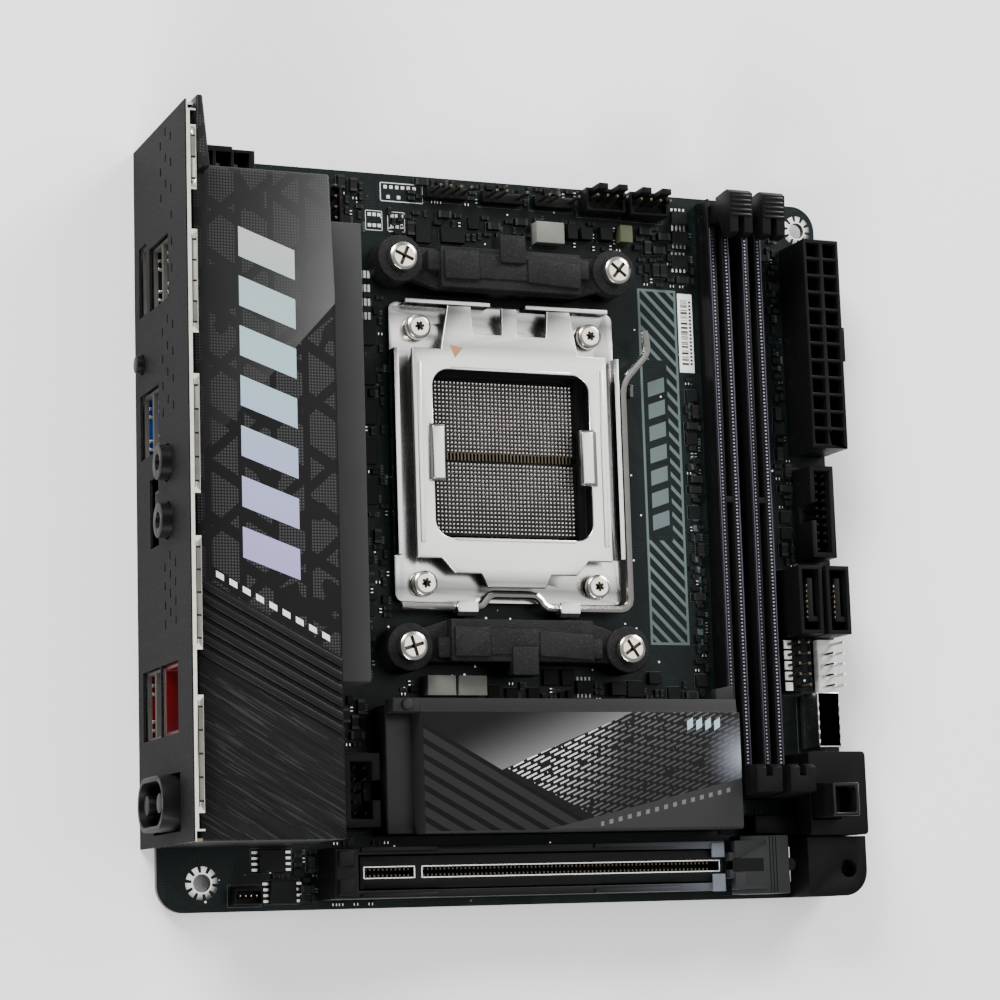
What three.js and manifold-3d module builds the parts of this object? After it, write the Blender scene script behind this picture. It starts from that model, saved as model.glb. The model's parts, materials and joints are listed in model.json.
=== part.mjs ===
// Mini-ITX computer motherboard, lying flat. Millimetres, +Z up.
// Inside the file everything is placed on the board: x runs from the rear ports (-x) to the memory
// side (+x), y from the expansion slot (-y) to the processor power plug (+y), and z = 0 is the top
// face of the circuit board. At the end the whole group is moved so that its origin is the middle of
// the underside of its bounding box.
import * as THREE from "three";
import { mergeVertices } from "three/addons/utils/BufferGeometryUtils.js";
import Module from "manifold-3d";

const wasm = await Module();
wasm.setup();

// ---------------------------------------------------------------- driving dimensions
const GAP = 0.3; // air left between pieces that touch on the real board
const BOARD_WIDTH = 170;
const BOARD_DEPTH = 170;
const BOARD_THICKNESS = 1.57;
const BOARD_CORNER_RADIUS = 6;
const MOUNT_HOLE_RADIUS = 2.0;
const MOUNT_HOLE_RIGHT_INSET = 4.9;
const MOUNT_HOLE_FRONT_INSET = 6.35;
const MOUNT_HOLE_BACK_INSET = 6.17;
const MOUNT_HOLE_REAR_FRONT_INSET = 10.16;
const MOUNT_HOLE_REAR_BACK_INSET = 33.02;

const SHIELD_OVERHANG = 2.6; // the rear shield stands this far outside the board's edge
const SHIELD_THICKNESS = 0.6;
const SHIELD_BELOW = 3.8;
const SHIELD_ABOVE = 39.3;
const SHIELD_LENGTH = 157.2;
const SHIELD_RETURN = 2.4; // how far its rims turn inwards
const PORT_DEPTH = 17;

const SOCKET_FROM_REAR = 84.2;
const SOCKET_FROM_BACK = 67.1;
const PACKAGE_SIZE = 40.6; // recess that the processor drops into
const SOCKET_SCREW_PITCH_X = 43.2;
const SOCKET_SCREW_PITCH_Y = 59.9;
const COOLER_PITCH_X = 54;
const COOLER_PITCH_Y = 90;
const FRAME_WIDTH = 56.6;
const FRAME_BACK = 36.0; // frame edge measured from the socket centre
const FRAME_FRONT = 34.0;
const FRAME_TOP = 2.4;
const PLATE_WIDTH = 48.8;
const PLATE_TOP = 7.0;
const PLATE_THICKNESS = 1.2;
const PLATE_WINDOW = 39.2;
const LEVER_RADIUS = 0.95;
const LEVER_HEIGHT = 4.3;
const CRANK_OFFSET = 3.1;
const CRANK_HALF = 6.6;
const BACKPLATE_WIDTH = 62;
const BACKPLATE_DEPTH = 98;
const BACKPLATE_THICKNESS = 2.2;

const COVER_TOP = 34;
const COVER_ROOF = 3.6;
const COVER_RIGHT_FROM_REAR = 32.2;
const COVER_FRONT_INSET = 14.1;
const COVER_BACK_INSET = 11.4;
const HEATSINK_TOP = 18;
const HEATSINK_RIGHT_FROM_REAR = 44.2;
const HEATSINK_FRONT_INSET = 48.9;
const HEATSINK_BACK_INSET = 17.4;

const MEMORY_PITCH = 8.7;
const MEMORY_FROM_RIGHT = 30.2;
const MEMORY_BODY_WIDTH = 5.6;
const MEMORY_BODY_HEIGHT = 7.0;
const MEMORY_MODULE_SLOT = 1.6;
const MEMORY_CONTACT_LENGTH = 130;
const MEMORY_TOWER_HEIGHT = 21;
const MEMORY_TOWER_WIDTH = 6.6;
const MEMORY_FRONT_INSET = 23.2;
const LATCH_WIDTH = 3.6;
const LATCH_GRIP_WIDTH = 6.0;
const LATCH_TOP = 19.8;

const CARD_SLOT_HEIGHT = 11.25;
const CARD_SLOT_LENGTH = 89;
const CARD_SLOT_FROM_REAR = 42.8;
const CARD_SLOT_FRONT_INSET = 7.6; // slot centre line
const CARD_SLOT_WIDTH = 7.2;
const CARD_SLOT_OPENING = 1.9;
const ARMOUR_WIDTH = 11.3;
const ARMOUR_WALL = 0.7;
const ARMOUR_HEEL = 5.9; // solid end nearest the rear ports

const BUTTON_TRAVEL = 3;
const BUTTON_SIZE_X = 7.0;
const BUTTON_SIZE_Y = 7.7;
const BUTTON_TOP = 22;
const BUTTON_CLEARANCE = 0.3;
const BUTTON_HOUSING_TOP = 12.4;
const CORNER_BLOCK_TOP = 10.5;

const DRIVE_HEATSINK_TOP = 16;
const DRIVE_BASE_TOP = 8.7;
const PIN_SIZE = 0.64;
const PIN_PITCH = 2.54;
const USB_PITCH = 2;
const PLUG_PITCH = 4.2; // processor and board power plugs

// ---------------------------------------------------------------- edges and places that others use
const rear = -BOARD_WIDTH / 2;
const right = BOARD_WIDTH / 2;
const front = -BOARD_DEPTH / 2;
const back = BOARD_DEPTH / 2;
const underside = -BOARD_THICKNESS;
const socketX = rear + SOCKET_FROM_REAR;
const socketY = back - SOCKET_FROM_BACK;
const shieldOuter = rear - SHIELD_OVERHANG;
const portFront = shieldOuter + SHIELD_THICKNESS + GAP;
const portRear = portFront + PORT_DEPTH;

const root = new THREE.Group();

// ---------------------------------------------------------------- shaping helpers
function toSolid(geometry) {
  const bare = geometry.clone();
  bare.deleteAttribute("normal");
  bare.deleteAttribute("uv");
  const merged = mergeVertices(bare, 1e-4);
  return new wasm.Manifold(
    new wasm.Mesh({
      numProp: 3,
      vertProperties: new Float32Array(merged.attributes.position.array),
      triVerts: new Uint32Array(merged.index.array),
    }),
  );
}

function toGeometry(solid) {
  const mesh = solid.getMesh();
  const geometry = new THREE.BufferGeometry();
  geometry.setAttribute("position", new THREE.BufferAttribute(mesh.vertProperties, 3));
  geometry.setIndex(new THREE.BufferAttribute(mesh.triVerts, 1));
  geometry.computeVertexNormals();
  return geometry;
}

const join = (...shapes) => toGeometry(shapes.map(toSolid).reduce((a, b) => a.add(b)));
const cut = (base, ...tools) =>
  toGeometry(tools.map(toSolid).reduce((solid, tool) => solid.subtract(tool), toSolid(base)));

// A box given by its lowest and highest x, y and z.
function box(x0, x1, y0, y1, z0, z1) {
  const geometry = new THREE.BoxGeometry(x1 - x0, y1 - y0, z1 - z0);
  return geometry.translate((x0 + x1) / 2, (y0 + y1) / 2, (z0 + z1) / 2);
}

// A box given by its middle in x and y and its sizes.
const boxAt = (x, y, width, depth, z0, z1) =>
  box(x - width / 2, x + width / 2, y - depth / 2, y + depth / 2, z0, z1);

function cylinder(x, y, radius, z0, z1, sides = 20) {
  const geometry = new THREE.CylinderGeometry(radius, radius, z1 - z0, sides);
  return geometry.rotateX(Math.PI / 2).translate(x, y, (z0 + z1) / 2);
}

function cylinderX(y, z, radius, x0, x1, sides = 20) {
  const geometry = new THREE.CylinderGeometry(radius, radius, x1 - x0, sides);
  return geometry.rotateZ(Math.PI / 2).translate((x0 + x1) / 2, y, z);
}

const outline = (points) => new THREE.Shape(points.map(([u, v]) => new THREE.Vector2(u, v)));

// An outline in x and y, raised from z0 to z1.
function prism(shape, z0, z1) {
  const options = { depth: z1 - z0, bevelEnabled: false, curveSegments: 6 };
  return new THREE.ExtrudeGeometry(shape, options).translate(0, 0, z0);
}

// An outline in y and z, stretched from x0 to x1.
function prismX(shape, x0, x1) {
  const options = { depth: x1 - x0, bevelEnabled: false, curveSegments: 6 };
  const turn = new THREE.Matrix4().makeBasis(
    new THREE.Vector3(0, 1, 0),
    new THREE.Vector3(0, 0, 1),
    new THREE.Vector3(1, 0, 0),
  );
  return new THREE.ExtrudeGeometry(shape, options).applyMatrix4(turn).translate(x0, 0, 0);
}

function roundedRectangle(x0, x1, y0, y1, radius) {
  const shape = new THREE.Shape();
  shape.moveTo(x0 + radius, y0);
  shape.lineTo(x1 - radius, y0);
  shape.absarc(x1 - radius, y0 + radius, radius, -Math.PI / 2, 0);
  shape.lineTo(x1, y1 - radius);
  shape.absarc(x1 - radius, y1 - radius, radius, 0, Math.PI / 2);
  shape.lineTo(x0 + radius, y1);
  shape.absarc(x0 + radius, y1 - radius, radius, Math.PI / 2, Math.PI);
  shape.lineTo(x0, y0 + radius);
  shape.absarc(x0 + radius, y0 + radius, radius, Math.PI, Math.PI * 1.5);
  return shape;
}

function addPart(parent, name, geometry, color, roughness, metalness) {
  const material = new THREE.MeshStandardMaterial({ color, roughness, metalness });
  const mesh = new THREE.Mesh(geometry, material);
  mesh.name = name;
  parent.add(mesh);
  return mesh;
}

const BLACK_PLASTIC = [0x161616, 0.55, 0];
const BLACK_METAL = [0x1d1d1e, 0.45, 0.6];
const BARE_STEEL = [0xc9c9c6, 0.3, 1];

// ---------------------------------------------------------------- circuit board and what backs it
const mountHoles = [
  [rear + MOUNT_HOLE_REAR_FRONT_INSET, front + MOUNT_HOLE_FRONT_INSET],
  [rear + MOUNT_HOLE_REAR_BACK_INSET, back - MOUNT_HOLE_BACK_INSET],
  [right - MOUNT_HOLE_RIGHT_INSET, back - MOUNT_HOLE_BACK_INSET],
  [right - MOUNT_HOLE_RIGHT_INSET, front + MOUNT_HOLE_FRONT_INSET],
];
const corners = [
  [-1, -1],
  [1, -1],
  [1, 1],
  [-1, 1],
];
const socketScrews = corners.map(([sx, sy]) => [
  socketX + (sx * SOCKET_SCREW_PITCH_X) / 2,
  socketY + (sy * SOCKET_SCREW_PITCH_Y) / 2,
]);
const coolerScrews = corners.map(([sx, sy]) => [
  socketX + (sx * COOLER_PITCH_X) / 2,
  socketY + (sy * COOLER_PITCH_Y) / 2,
]);
const SCREW_SHANK_RADIUS = 1.5;
const SCREW_HOLE_RADIUS = SCREW_SHANK_RADIUS + 0.3;
const backplateTop = underside - GAP;
const backplateBottom = backplateTop - BACKPLATE_THICKNESS;

function circuitBoard() {
  const blank = prism(roundedRectangle(rear, right, front, back, BOARD_CORNER_RADIUS), underside, 0);
  const mounts = mountHoles.map(([x, y]) => cylinder(x, y, MOUNT_HOLE_RADIUS, underside - 1, 1, 24));
  const screws = [...socketScrews, ...coolerScrews].map(([x, y]) =>
    cylinder(x, y, SCREW_HOLE_RADIUS, underside - 1, 1, 12),
  );
  return cut(blank, ...mounts, ...screws);
}

function socketBackplate() {
  const x = BACKPLATE_WIDTH / 2;
  const y = BACKPLATE_DEPTH / 2;
  const waist = 9;
  const shape = outline([
    [socketX - x, socketY - y + waist],
    [socketX - x + waist, socketY - y],
    [socketX + x - waist, socketY - y],
    [socketX + x, socketY - y + waist],
    [socketX + x, socketY + y - waist],
    [socketX + x - waist, socketY + y],
    [socketX - x + waist, socketY + y],
    [socketX - x, socketY + y - waist],
  ]);
  const holes = [...socketScrews, ...coolerScrews].map(([px, py]) =>
    cylinder(px, py, SCREW_HOLE_RADIUS, backplateBottom - 1, backplateTop + 1, 12),
  );
  return cut(prism(shape, backplateBottom, backplateTop), ...holes);
}

addPart(root, "circuit_board", circuitBoard(), 0x10201c, 0.5, 0);
addPart(root, "socket_backplate", socketBackplate(), ...BLACK_METAL);
const STRIP_WIDTH = 8;
const STRIP_THICKNESS = 1.5;
const stripTop = underside - GAP;
addPart(
  root,
  "rear_edge_strip",
  box(
    shieldOuter + SHIELD_RETURN + GAP,
    rear + STRIP_WIDTH,
    front + MOUNT_HOLE_FRONT_INSET + 10,
    back - 12,
    stripTop - STRIP_THICKNESS,
    stripTop,
  ),
  ...BLACK_PLASTIC,
);

// ---------------------------------------------------------------- processor socket
const socket = new THREE.Group();
socket.position.set(socketX, socketY, 0);
root.add(socket);

const HOUSING_WALL = 2.6;
const HOUSING_FLOOR = 1.7;
const HOUSING_TOP = 4.6;

function socketHousing() {
  const outer = PACKAGE_SIZE + 2 * HOUSING_WALL;
  const tray = boxAt(0, 0, outer, outer, GAP, HOUSING_TOP);
  return cut(tray, boxAt(0, 0, PACKAGE_SIZE, PACKAGE_SIZE, HOUSING_FLOOR, HOUSING_TOP + 1));
}

// A steel base ring with corner pads, side rails, an upturned back edge for the hinge and rolled
// clips at the front that hold the lever.
const leverAxisY = -FRAME_FRONT - LEVER_RADIUS - 0.35;
const leverX = FRAME_WIDTH / 2 + LEVER_RADIUS + 0.35;
const RAIL_TOP = PLATE_TOP - PLATE_THICKNESS - GAP;
const CLIP_WALL = 0.9;
const CLIP_WIDTH = 4.8;
const CLIP_X = [-12.1, 13.4];

function leverClip(x) {
  const inner = LEVER_RADIUS + GAP;
  const outer = inner + CLIP_WALL;
  const y = leverAxisY;
  const z = LEVER_HEIGHT;
  const shape = outline([
    [-FRAME_FRONT + 1, GAP],
    [-FRAME_FRONT + 1, FRAME_TOP],
    [y + inner, FRAME_TOP],
    [y + inner, z - inner],
    [y - inner, z - inner],
    [y - inner, z + inner],
    [y + inner, z + inner],
    [y + inner, z + outer],
    [y - inner, z + outer],
    [y - outer, z + inner],
    [y - outer, z - inner],
    [y - inner, GAP],
  ]);
  return prismX(shape, x - CLIP_WIDTH / 2, x + CLIP_WIDTH / 2);
}

function socketFrame() {
  const half = FRAME_WIDTH / 2;
  const opening = PACKAGE_SIZE / 2 + HOUSING_WALL + GAP;
  const base = roundedRectangle(-half, half, -FRAME_FRONT, FRAME_BACK, 2);
  const ring = cut(
    prism(base, GAP, FRAME_TOP),
    boxAt(0, 0, 2 * opening, 2 * opening, 0, FRAME_TOP + 1),
    ...socketScrews.map(([x, y]) => cylinder(x - socketX, y - socketY, SCREW_HOLE_RADIUS, 0, 9, 12)),
  );
  const railWall = 1.1;
  const rails = [-1, 1].map((side) =>
    boxAt(side * (half - railWall / 2), 0.5, railWall, 48, FRAME_TOP - 0.5, RAIL_TOP),
  );
  const hingeWall = 0.9;
  const hingeEdges = [-1, 1].map((side) =>
    boxAt(side * 15, FRAME_BACK - hingeWall / 2, 21, hingeWall, FRAME_TOP - 0.5, PLATE_TOP - 0.6),
  );
  const restReach = 2 * LEVER_RADIUS + 1.9;
  const rest = join(
    box(half - 1, half + restReach, 15.6, 18.6, GAP, FRAME_TOP),
    box(half + restReach - 0.8, half + restReach, 15.6, 18.6, GAP, LEVER_HEIGHT + 0.8),
  );
  return join(ring, ...rails, ...hingeEdges, rest, ...CLIP_X.map(leverClip));
}

// The load plate: a stamped cover with a square window, narrowed in the middle by two raised ribs.
const hingeY = FRAME_BACK - 0.9 - GAP;
const tongueFront = leverAxisY + CRANK_OFFSET + LEVER_RADIUS + GAP;

function loadPlate() {
  const w = PLATE_WIDTH / 2;
  const low = PLATE_TOP - PLATE_THICKNESS;
  const shoulder = 24.4;
  const fingerHalf = 1.9;
  const shape = outline([
    [-w, -shoulder],
    [-18.2, -shoulder],
    [-15.2, -shoulder - 3.4],
    [-8.6, -shoulder - 3.4],
    [-7.2, tongueFront],
    [7.2, tongueFront],
    [8.6, -shoulder - 3.4],
    [15.2, -shoulder - 3.4],
    [18.2, -shoulder],
    [w, -shoulder],
    [w, shoulder],
    [17.2, shoulder],
    [15.4, hingeY],
    [9.6, hingeY],
    [9.2, shoulder + 4],
    [fingerHalf, shoulder + 4],
    [fingerHalf, hingeY],
    [-fingerHalf, hingeY],
    [-fingerHalf, shoulder + 4],
    [-9.2, shoulder + 4],
    [-9.6, hingeY],
    [-15.4, hingeY],
    [-17.2, shoulder],
    [-w, shoulder],
  ]);
  const half = PLATE_WINDOW / 2;
  const window = prism(roundedRectangle(-half, half, -half, half, 4), low - 1, PLATE_TOP + 1);
  const ribReach = 2.6;
  const ribs = [-1, 1].map((side) =>
    boxAt(side * (half - ribReach / 2 + 0.7), 0, ribReach + 1.4, 13.2, low, PLATE_TOP + 0.5),
  );
  return join(cut(prism(shape, low, PLATE_TOP), window), ...ribs);
}

// The lever: one bent wire with a crank in the front run, a shaft up the right side and a hooked end.
function loadLever() {
  const crankY = leverAxisY + CRANK_OFFSET;
  const z = LEVER_HEIGHT;
  const route = new THREE.CurvePath();
  const corner = 3;
  const points = [
    [-27.6, leverAxisY, z],
    [-CRANK_HALF - 1.4, leverAxisY, z],
    [-CRANK_HALF + 0.6, crankY, z],
    [CRANK_HALF - 0.6, crankY, z],
    [CRANK_HALF + 1.4, leverAxisY, z],
    [leverX, leverAxisY, z],
    [leverX, 19, z],
    [leverX + 6.6, 26.5, z + 1.2],
    [leverX + 5.6, 31.6, z + 1.6],
  ].map(([x, y, h]) => new THREE.Vector3(x, y, h));
  let from = points[0];
  points.slice(1, -1).forEach((point, i) => {
    const before = point.clone().sub(points[i]);
    const after = points[i + 2].clone().sub(point);
    const radius = Math.min(corner, before.length() * 0.4, after.length() * 0.4);
    const start = point.clone().addScaledVector(before.normalize(), -radius);
    const end = point.clone().addScaledVector(after.normalize(), radius);
    route.add(new THREE.LineCurve3(from, start));
    route.add(new THREE.QuadraticBezierCurve3(start, point, end));
    from = end;
  });
  route.add(new THREE.LineCurve3(from, points[points.length - 1]));
  const section = new THREE.Shape().absarc(0, 0, LEVER_RADIUS, 0, Math.PI * 2);
  const options = { steps: 96, bevelEnabled: false, extrudePath: route, curveSegments: 4 };
  return new THREE.ExtrudeGeometry(section, options);
}

addPart(socket, "socket_housing", socketHousing(), ...BLACK_PLASTIC);
addPart(socket, "socket_frame", socketFrame(), ...BARE_STEEL);
addPart(socket, "load_plate", loadPlate(), ...BARE_STEEL);
addPart(socket, "load_lever", loadLever(), ...BARE_STEEL);

function screw(headRadius, headBottom, headTop, shankBottom) {
  const head = cylinder(0, 0, headRadius, headBottom, headTop, 20);
  const shank = cylinder(0, 0, SCREW_SHANK_RADIUS, shankBottom, headBottom + 0.2, 12);
  return join(head, shank);
}

socketScrews.forEach(([x, y], i) => {
  const geometry = screw(2.9, FRAME_TOP + GAP, FRAME_TOP + GAP + 2.3, backplateBottom + 0.2);
  addPart(root, `socket_screw_${i + 1}`, geometry, ...BARE_STEEL).position.set(x, y, 0);
});

// ---------------------------------------------------------------- cooler brackets and their screws
const BOSS_RADIUS = 5.5;
const BOSS_TOP = 8;
const BRACKET_TOP = 9.6;
const HOOK_REACH = 6.5; // away from the socket
const BRACKET_REACH = 6.4; // towards the socket, from the line through its two screws

function coolerBracket() {
  const half = COOLER_PITCH_X / 2;
  const shape = outline([
    [-half, -3.4],
    [-17.6, -BRACKET_REACH],
    [17.6, -BRACKET_REACH],
    [half, -3.4],
    [half, 3.4],
    [17.6, 3.2],
    [-17.6, 3.2],
    [-half, 3.4],
  ]);
  const arms = prism(shape, GAP, BOSS_TOP - 1.5);
  const bosses = [-half, half].map((x) => cylinder(x, 0, BOSS_RADIUS, GAP, BOSS_TOP, 24));
  const middle = box(-17.6, 17.6, -BRACKET_REACH, 3.2, GAP, BRACKET_TOP);
  const hook = box(-3.2, 3.2, -0.1, HOOK_REACH, BOSS_TOP - 3, BRACKET_TOP + 1.2);
  const holes = [-half, half].map((x) => cylinder(x, 0, SCREW_HOLE_RADIUS, 0, 20, 12));
  return cut(join(arms, ...bosses, middle, hook), ...holes);
}

const coolerBrackets = [
  ["cooler_bracket_back", 1, 0],
  ["cooler_bracket_front", -1, Math.PI],
];
for (const [name, side, turn] of coolerBrackets) {
  const bracket = addPart(root, name, coolerBracket(), ...BLACK_PLASTIC);
  bracket.position.set(socketX, socketY + (side * COOLER_PITCH_Y) / 2, 0);
  bracket.rotation.z = turn;
}
coolerScrews.forEach(([x, y], i) => {
  const geometry = screw(3.3, BOSS_TOP + GAP, BOSS_TOP + GAP + 2.4, backplateBottom + 0.2);
  addPart(root, `cooler_screw_${i + 1}`, geometry, ...BARE_STEEL).position.set(x, y, 0);
});

// ---------------------------------------------------------------- voltage regulator heatsink and cover
const coverRight = rear + COVER_RIGHT_FROM_REAR;
const coverLeft = shieldOuter + SHIELD_RETURN + GAP;
const coverFront = front + COVER_FRONT_INSET;
const coverBack = back - COVER_BACK_INSET;
const heatsinkLeft = portRear + 2;
const heatsinkRight = rear + HEATSINK_RIGHT_FROM_REAR;
const heatsinkFront = front + HEATSINK_FRONT_INSET;
const heatsinkBack = back - HEATSINK_BACK_INSET;
const COVER_WALL = 2;
const FIN_LENGTH = 16;
const FIN_TOP = 39;

function voltageHeatsink() {
  const block = box(heatsinkLeft, heatsinkRight, heatsinkFront, heatsinkBack, 3, HEATSINK_TOP);
  const grooves = [0, 1, 2].map((i) =>
    box(heatsinkLeft + 3.5 + 4 * i, heatsinkLeft + 5.5 + 4 * i, front, back, 8, HEATSINK_TOP + 1),
  );
  return cut(block, ...grooves);
}

function ioCover() {
  const low = COVER_TOP - COVER_ROOF;
  const roof = prism(
    outline([
      [coverLeft, coverFront],
      [coverRight, coverFront],
      [coverRight, coverBack - 26],
      [coverRight - 0.9, coverBack],
      [coverLeft, coverBack],
    ]),
    low,
    COVER_TOP,
  );
  const wallLeft = coverRight - COVER_WALL - 0.9;
  const rightWall = box(wallLeft, coverRight - 0.9, coverFront, coverBack, HEATSINK_TOP + GAP, low + 1);
  const legFront = box(wallLeft, coverRight - 0.9, coverFront, heatsinkFront - GAP, 1, low);
  const legBack = box(wallLeft, coverRight - 0.9, heatsinkBack + GAP, coverBack, 1, low);
  const frontWall = box(coverLeft, coverRight - 0.9, coverFront, coverFront + COVER_WALL, 1, low + 1);
  const backWall = box(coverLeft, coverRight - 0.9, coverBack - COVER_WALL, coverBack, 15, low + 1);
  const fin = prism(
    outline([
      [coverLeft, coverBack - 2],
      [coverLeft + 2.9, coverBack - 2],
      [coverLeft + 1.4, coverBack + FIN_LENGTH - 2],
      [coverLeft, coverBack + FIN_LENGTH - 2],
    ]),
    15,
    FIN_TOP,
  );
  return join(roof, rightWall, legFront, legBack, frontWall, backWall, fin);
}

addPart(root, "vrm_heatsink", voltageHeatsink(), 0x3c3e40, 0.5, 0.7);
addPart(root, "io_cover", ioCover(), 0x1a1a1c, 0.35, 0.5);

// ---------------------------------------------------------------- rear ports and shield
// Each port: where its middle lies along the rear edge (measured from the board's middle), its
// width, and the heights of its underside and top. Shelves are the tongues inside it.
function port(parent, name, y, width, z0, z1, levels, color) {
  const shell = box(portFront, portRear, y - width / 2, y + width / 2, z0, z1);
  const wall = 0.7;
  const levelHeight = (z1 - z0) / levels;
  const mouths = [];
  const tongues = [];
  for (let i = 0; i < levels; i++) {
    const low = z0 + i * levelHeight + wall;
    const high = z0 + (i + 1) * levelHeight - wall;
    const inset = y - width / 2 + wall;
    mouths.push(box(portFront - 1, portRear - 4, inset, y + width / 2 - wall, low, high));
    tongues.push(box(portFront + 1, portRear - 3, inset + 0.8, y + width / 2 - wall - 0.8, high - 2.5, high - 0.7));
  }
  return addPart(parent, name, join(cut(shell, ...mouths), ...tongues), color, 0.4, 0.8);
}

const ports = new THREE.Group();
root.add(ports);
const DISPLAY = { y: 54.6, width: 16, low: GAP, high: 6.6 };
const USB_BLACK = { y: 53.4, width: 14.2, low: 9.2, high: 24.8 };
const USB_BLUE = { y: 21.6, width: 14.6, low: GAP, high: 15.6 };
const USB_C = { y: 1.2, width: 10, low: 8.6, high: 13.4 };
const USB_RED = { y: -40.4, width: 15.2, low: GAP, high: 14.6 };
const NETWORK = { y: -40.4, width: 15.8, low: 14.9, high: 28.9 };
const JACKS = { y: [10.4, -2.2], z: 22, radius: 3.8, bore: 1.8, reach: 2.2 };
const WIRELESS = { y: -62.4, z: 18.6, width: 11.6, height: 21, reach: 3.6 };
const REAR_BUTTON = { y: 35.8, z: 2.4, radius: 2.0, reach: 1.6, travel: 0.8 };

port(ports, "display_port", DISPLAY.y, DISPLAY.width, DISPLAY.low, DISPLAY.high, 1, 0x8c8a86);
port(ports, "usb_port_pair_black", USB_BLACK.y, USB_BLACK.width, USB_BLACK.low, USB_BLACK.high, 2, 0x8c8a86);
port(ports, "usb_port_pair_blue", USB_BLUE.y, USB_BLUE.width, USB_BLUE.low, USB_BLUE.high, 2, 0x8c8a86);
port(ports, "usb_c_port", USB_C.y, USB_C.width, USB_C.low, USB_C.high, 1, 0x8c8a86);
port(ports, "usb_port_pair_red", USB_RED.y, USB_RED.width, USB_RED.low, USB_RED.high, 2, 0x8c8a86);

const NETWORK_WALL = 1.2;
function networkPort() {
  const { y, width, low, high } = NETWORK;
  const shell = box(portFront, portRear, y - width / 2, y + width / 2, low, high);
  const mouth = box(
    portFront - 1,
    portRear - 3,
    y - width / 2 + NETWORK_WALL,
    y + width / 2 - NETWORK_WALL,
    low + NETWORK_WALL,
    high - NETWORK_WALL,
  );
  return cut(shell, mouth);
}
addPart(ports, "network_port", networkPort(), 0x5a1214, 0.5, 0.2);

const JACK_SIDE = 3.6; // block beyond the middle of each jack
function audioJacks() {
  const [upper, lower] = JACKS.y;
  const block = box(portFront, portRear - 2, lower - JACK_SIDE, upper + JACK_SIDE, 14.6, JACKS.z + 6);
  const collars = JACKS.y.map((y) =>
    cylinderX(y, JACKS.z, JACKS.radius, shieldOuter - JACKS.reach, portFront + 0.5, 24),
  );
  const bores = JACKS.y.map((y) =>
    cylinderX(y, JACKS.z, JACKS.bore, shieldOuter - JACKS.reach - 1, portRear - 5, 16),
  );
  return cut(join(block, ...collars), ...bores);
}
addPart(ports, "audio_jacks", audioJacks(), ...BLACK_PLASTIC);

// An oval collar with two round aerial barrels standing in it.
function wirelessPlug() {
  const { y, z, width, height, reach } = WIRELESS;
  const r = width / 2;
  const straight = height / 2 - r;
  const oval = (radius) => {
    const shape = new THREE.Shape();
    shape.moveTo(-straight, -radius);
    shape.lineTo(straight, -radius);
    shape.absarc(straight, 0, radius, -Math.PI / 2, Math.PI / 2);
    shape.lineTo(-straight, radius);
    shape.absarc(-straight, 0, radius, Math.PI / 2, Math.PI * 1.5);
    return shape;
  };
  const stand = (shape, x0, x1) => {
    const geometry = prism(shape, x0, x1);
    const turn = new THREE.Matrix4().makeBasis(
      new THREE.Vector3(0, 0, 1),
      new THREE.Vector3(0, 1, 0),
      new THREE.Vector3(-1, 0, 0),
    );
    return geometry.applyMatrix4(turn).translate(0, y, z);
  };
  const collar = stand(oval(r), -portFront - 2, -(shieldOuter - reach));
  const body = box(portFront, portRear, y - 5, y + 5, 3, z + 9);
  const hollow = stand(oval(r - 1.1), -(shieldOuter + 0.4), -(shieldOuter - reach - 1));
  const barrels = [-5, 5].map((dz) =>
    cylinderX(y, z + dz, 2.1, shieldOuter - reach + 0.6, portFront + 1, 14),
  );
  return join(cut(join(collar, body), hollow), ...barrels);
}
addPart(ports, "wireless_plug", wirelessPlug(), ...BLACK_PLASTIC);

function rearButton() {
  const { y, z, radius, reach, travel } = REAR_BUTTON;
  const cap = cylinderX(y, z, radius, shieldOuter - reach, portFront + 1.2, 20);
  const flange = cylinderX(y, z, radius - 0.6, portFront + 1, portFront + 4 - travel, 12);
  return join(cap, flange);
}
addPart(root, "rear_button", rearButton(), ...BLACK_PLASTIC);

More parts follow.
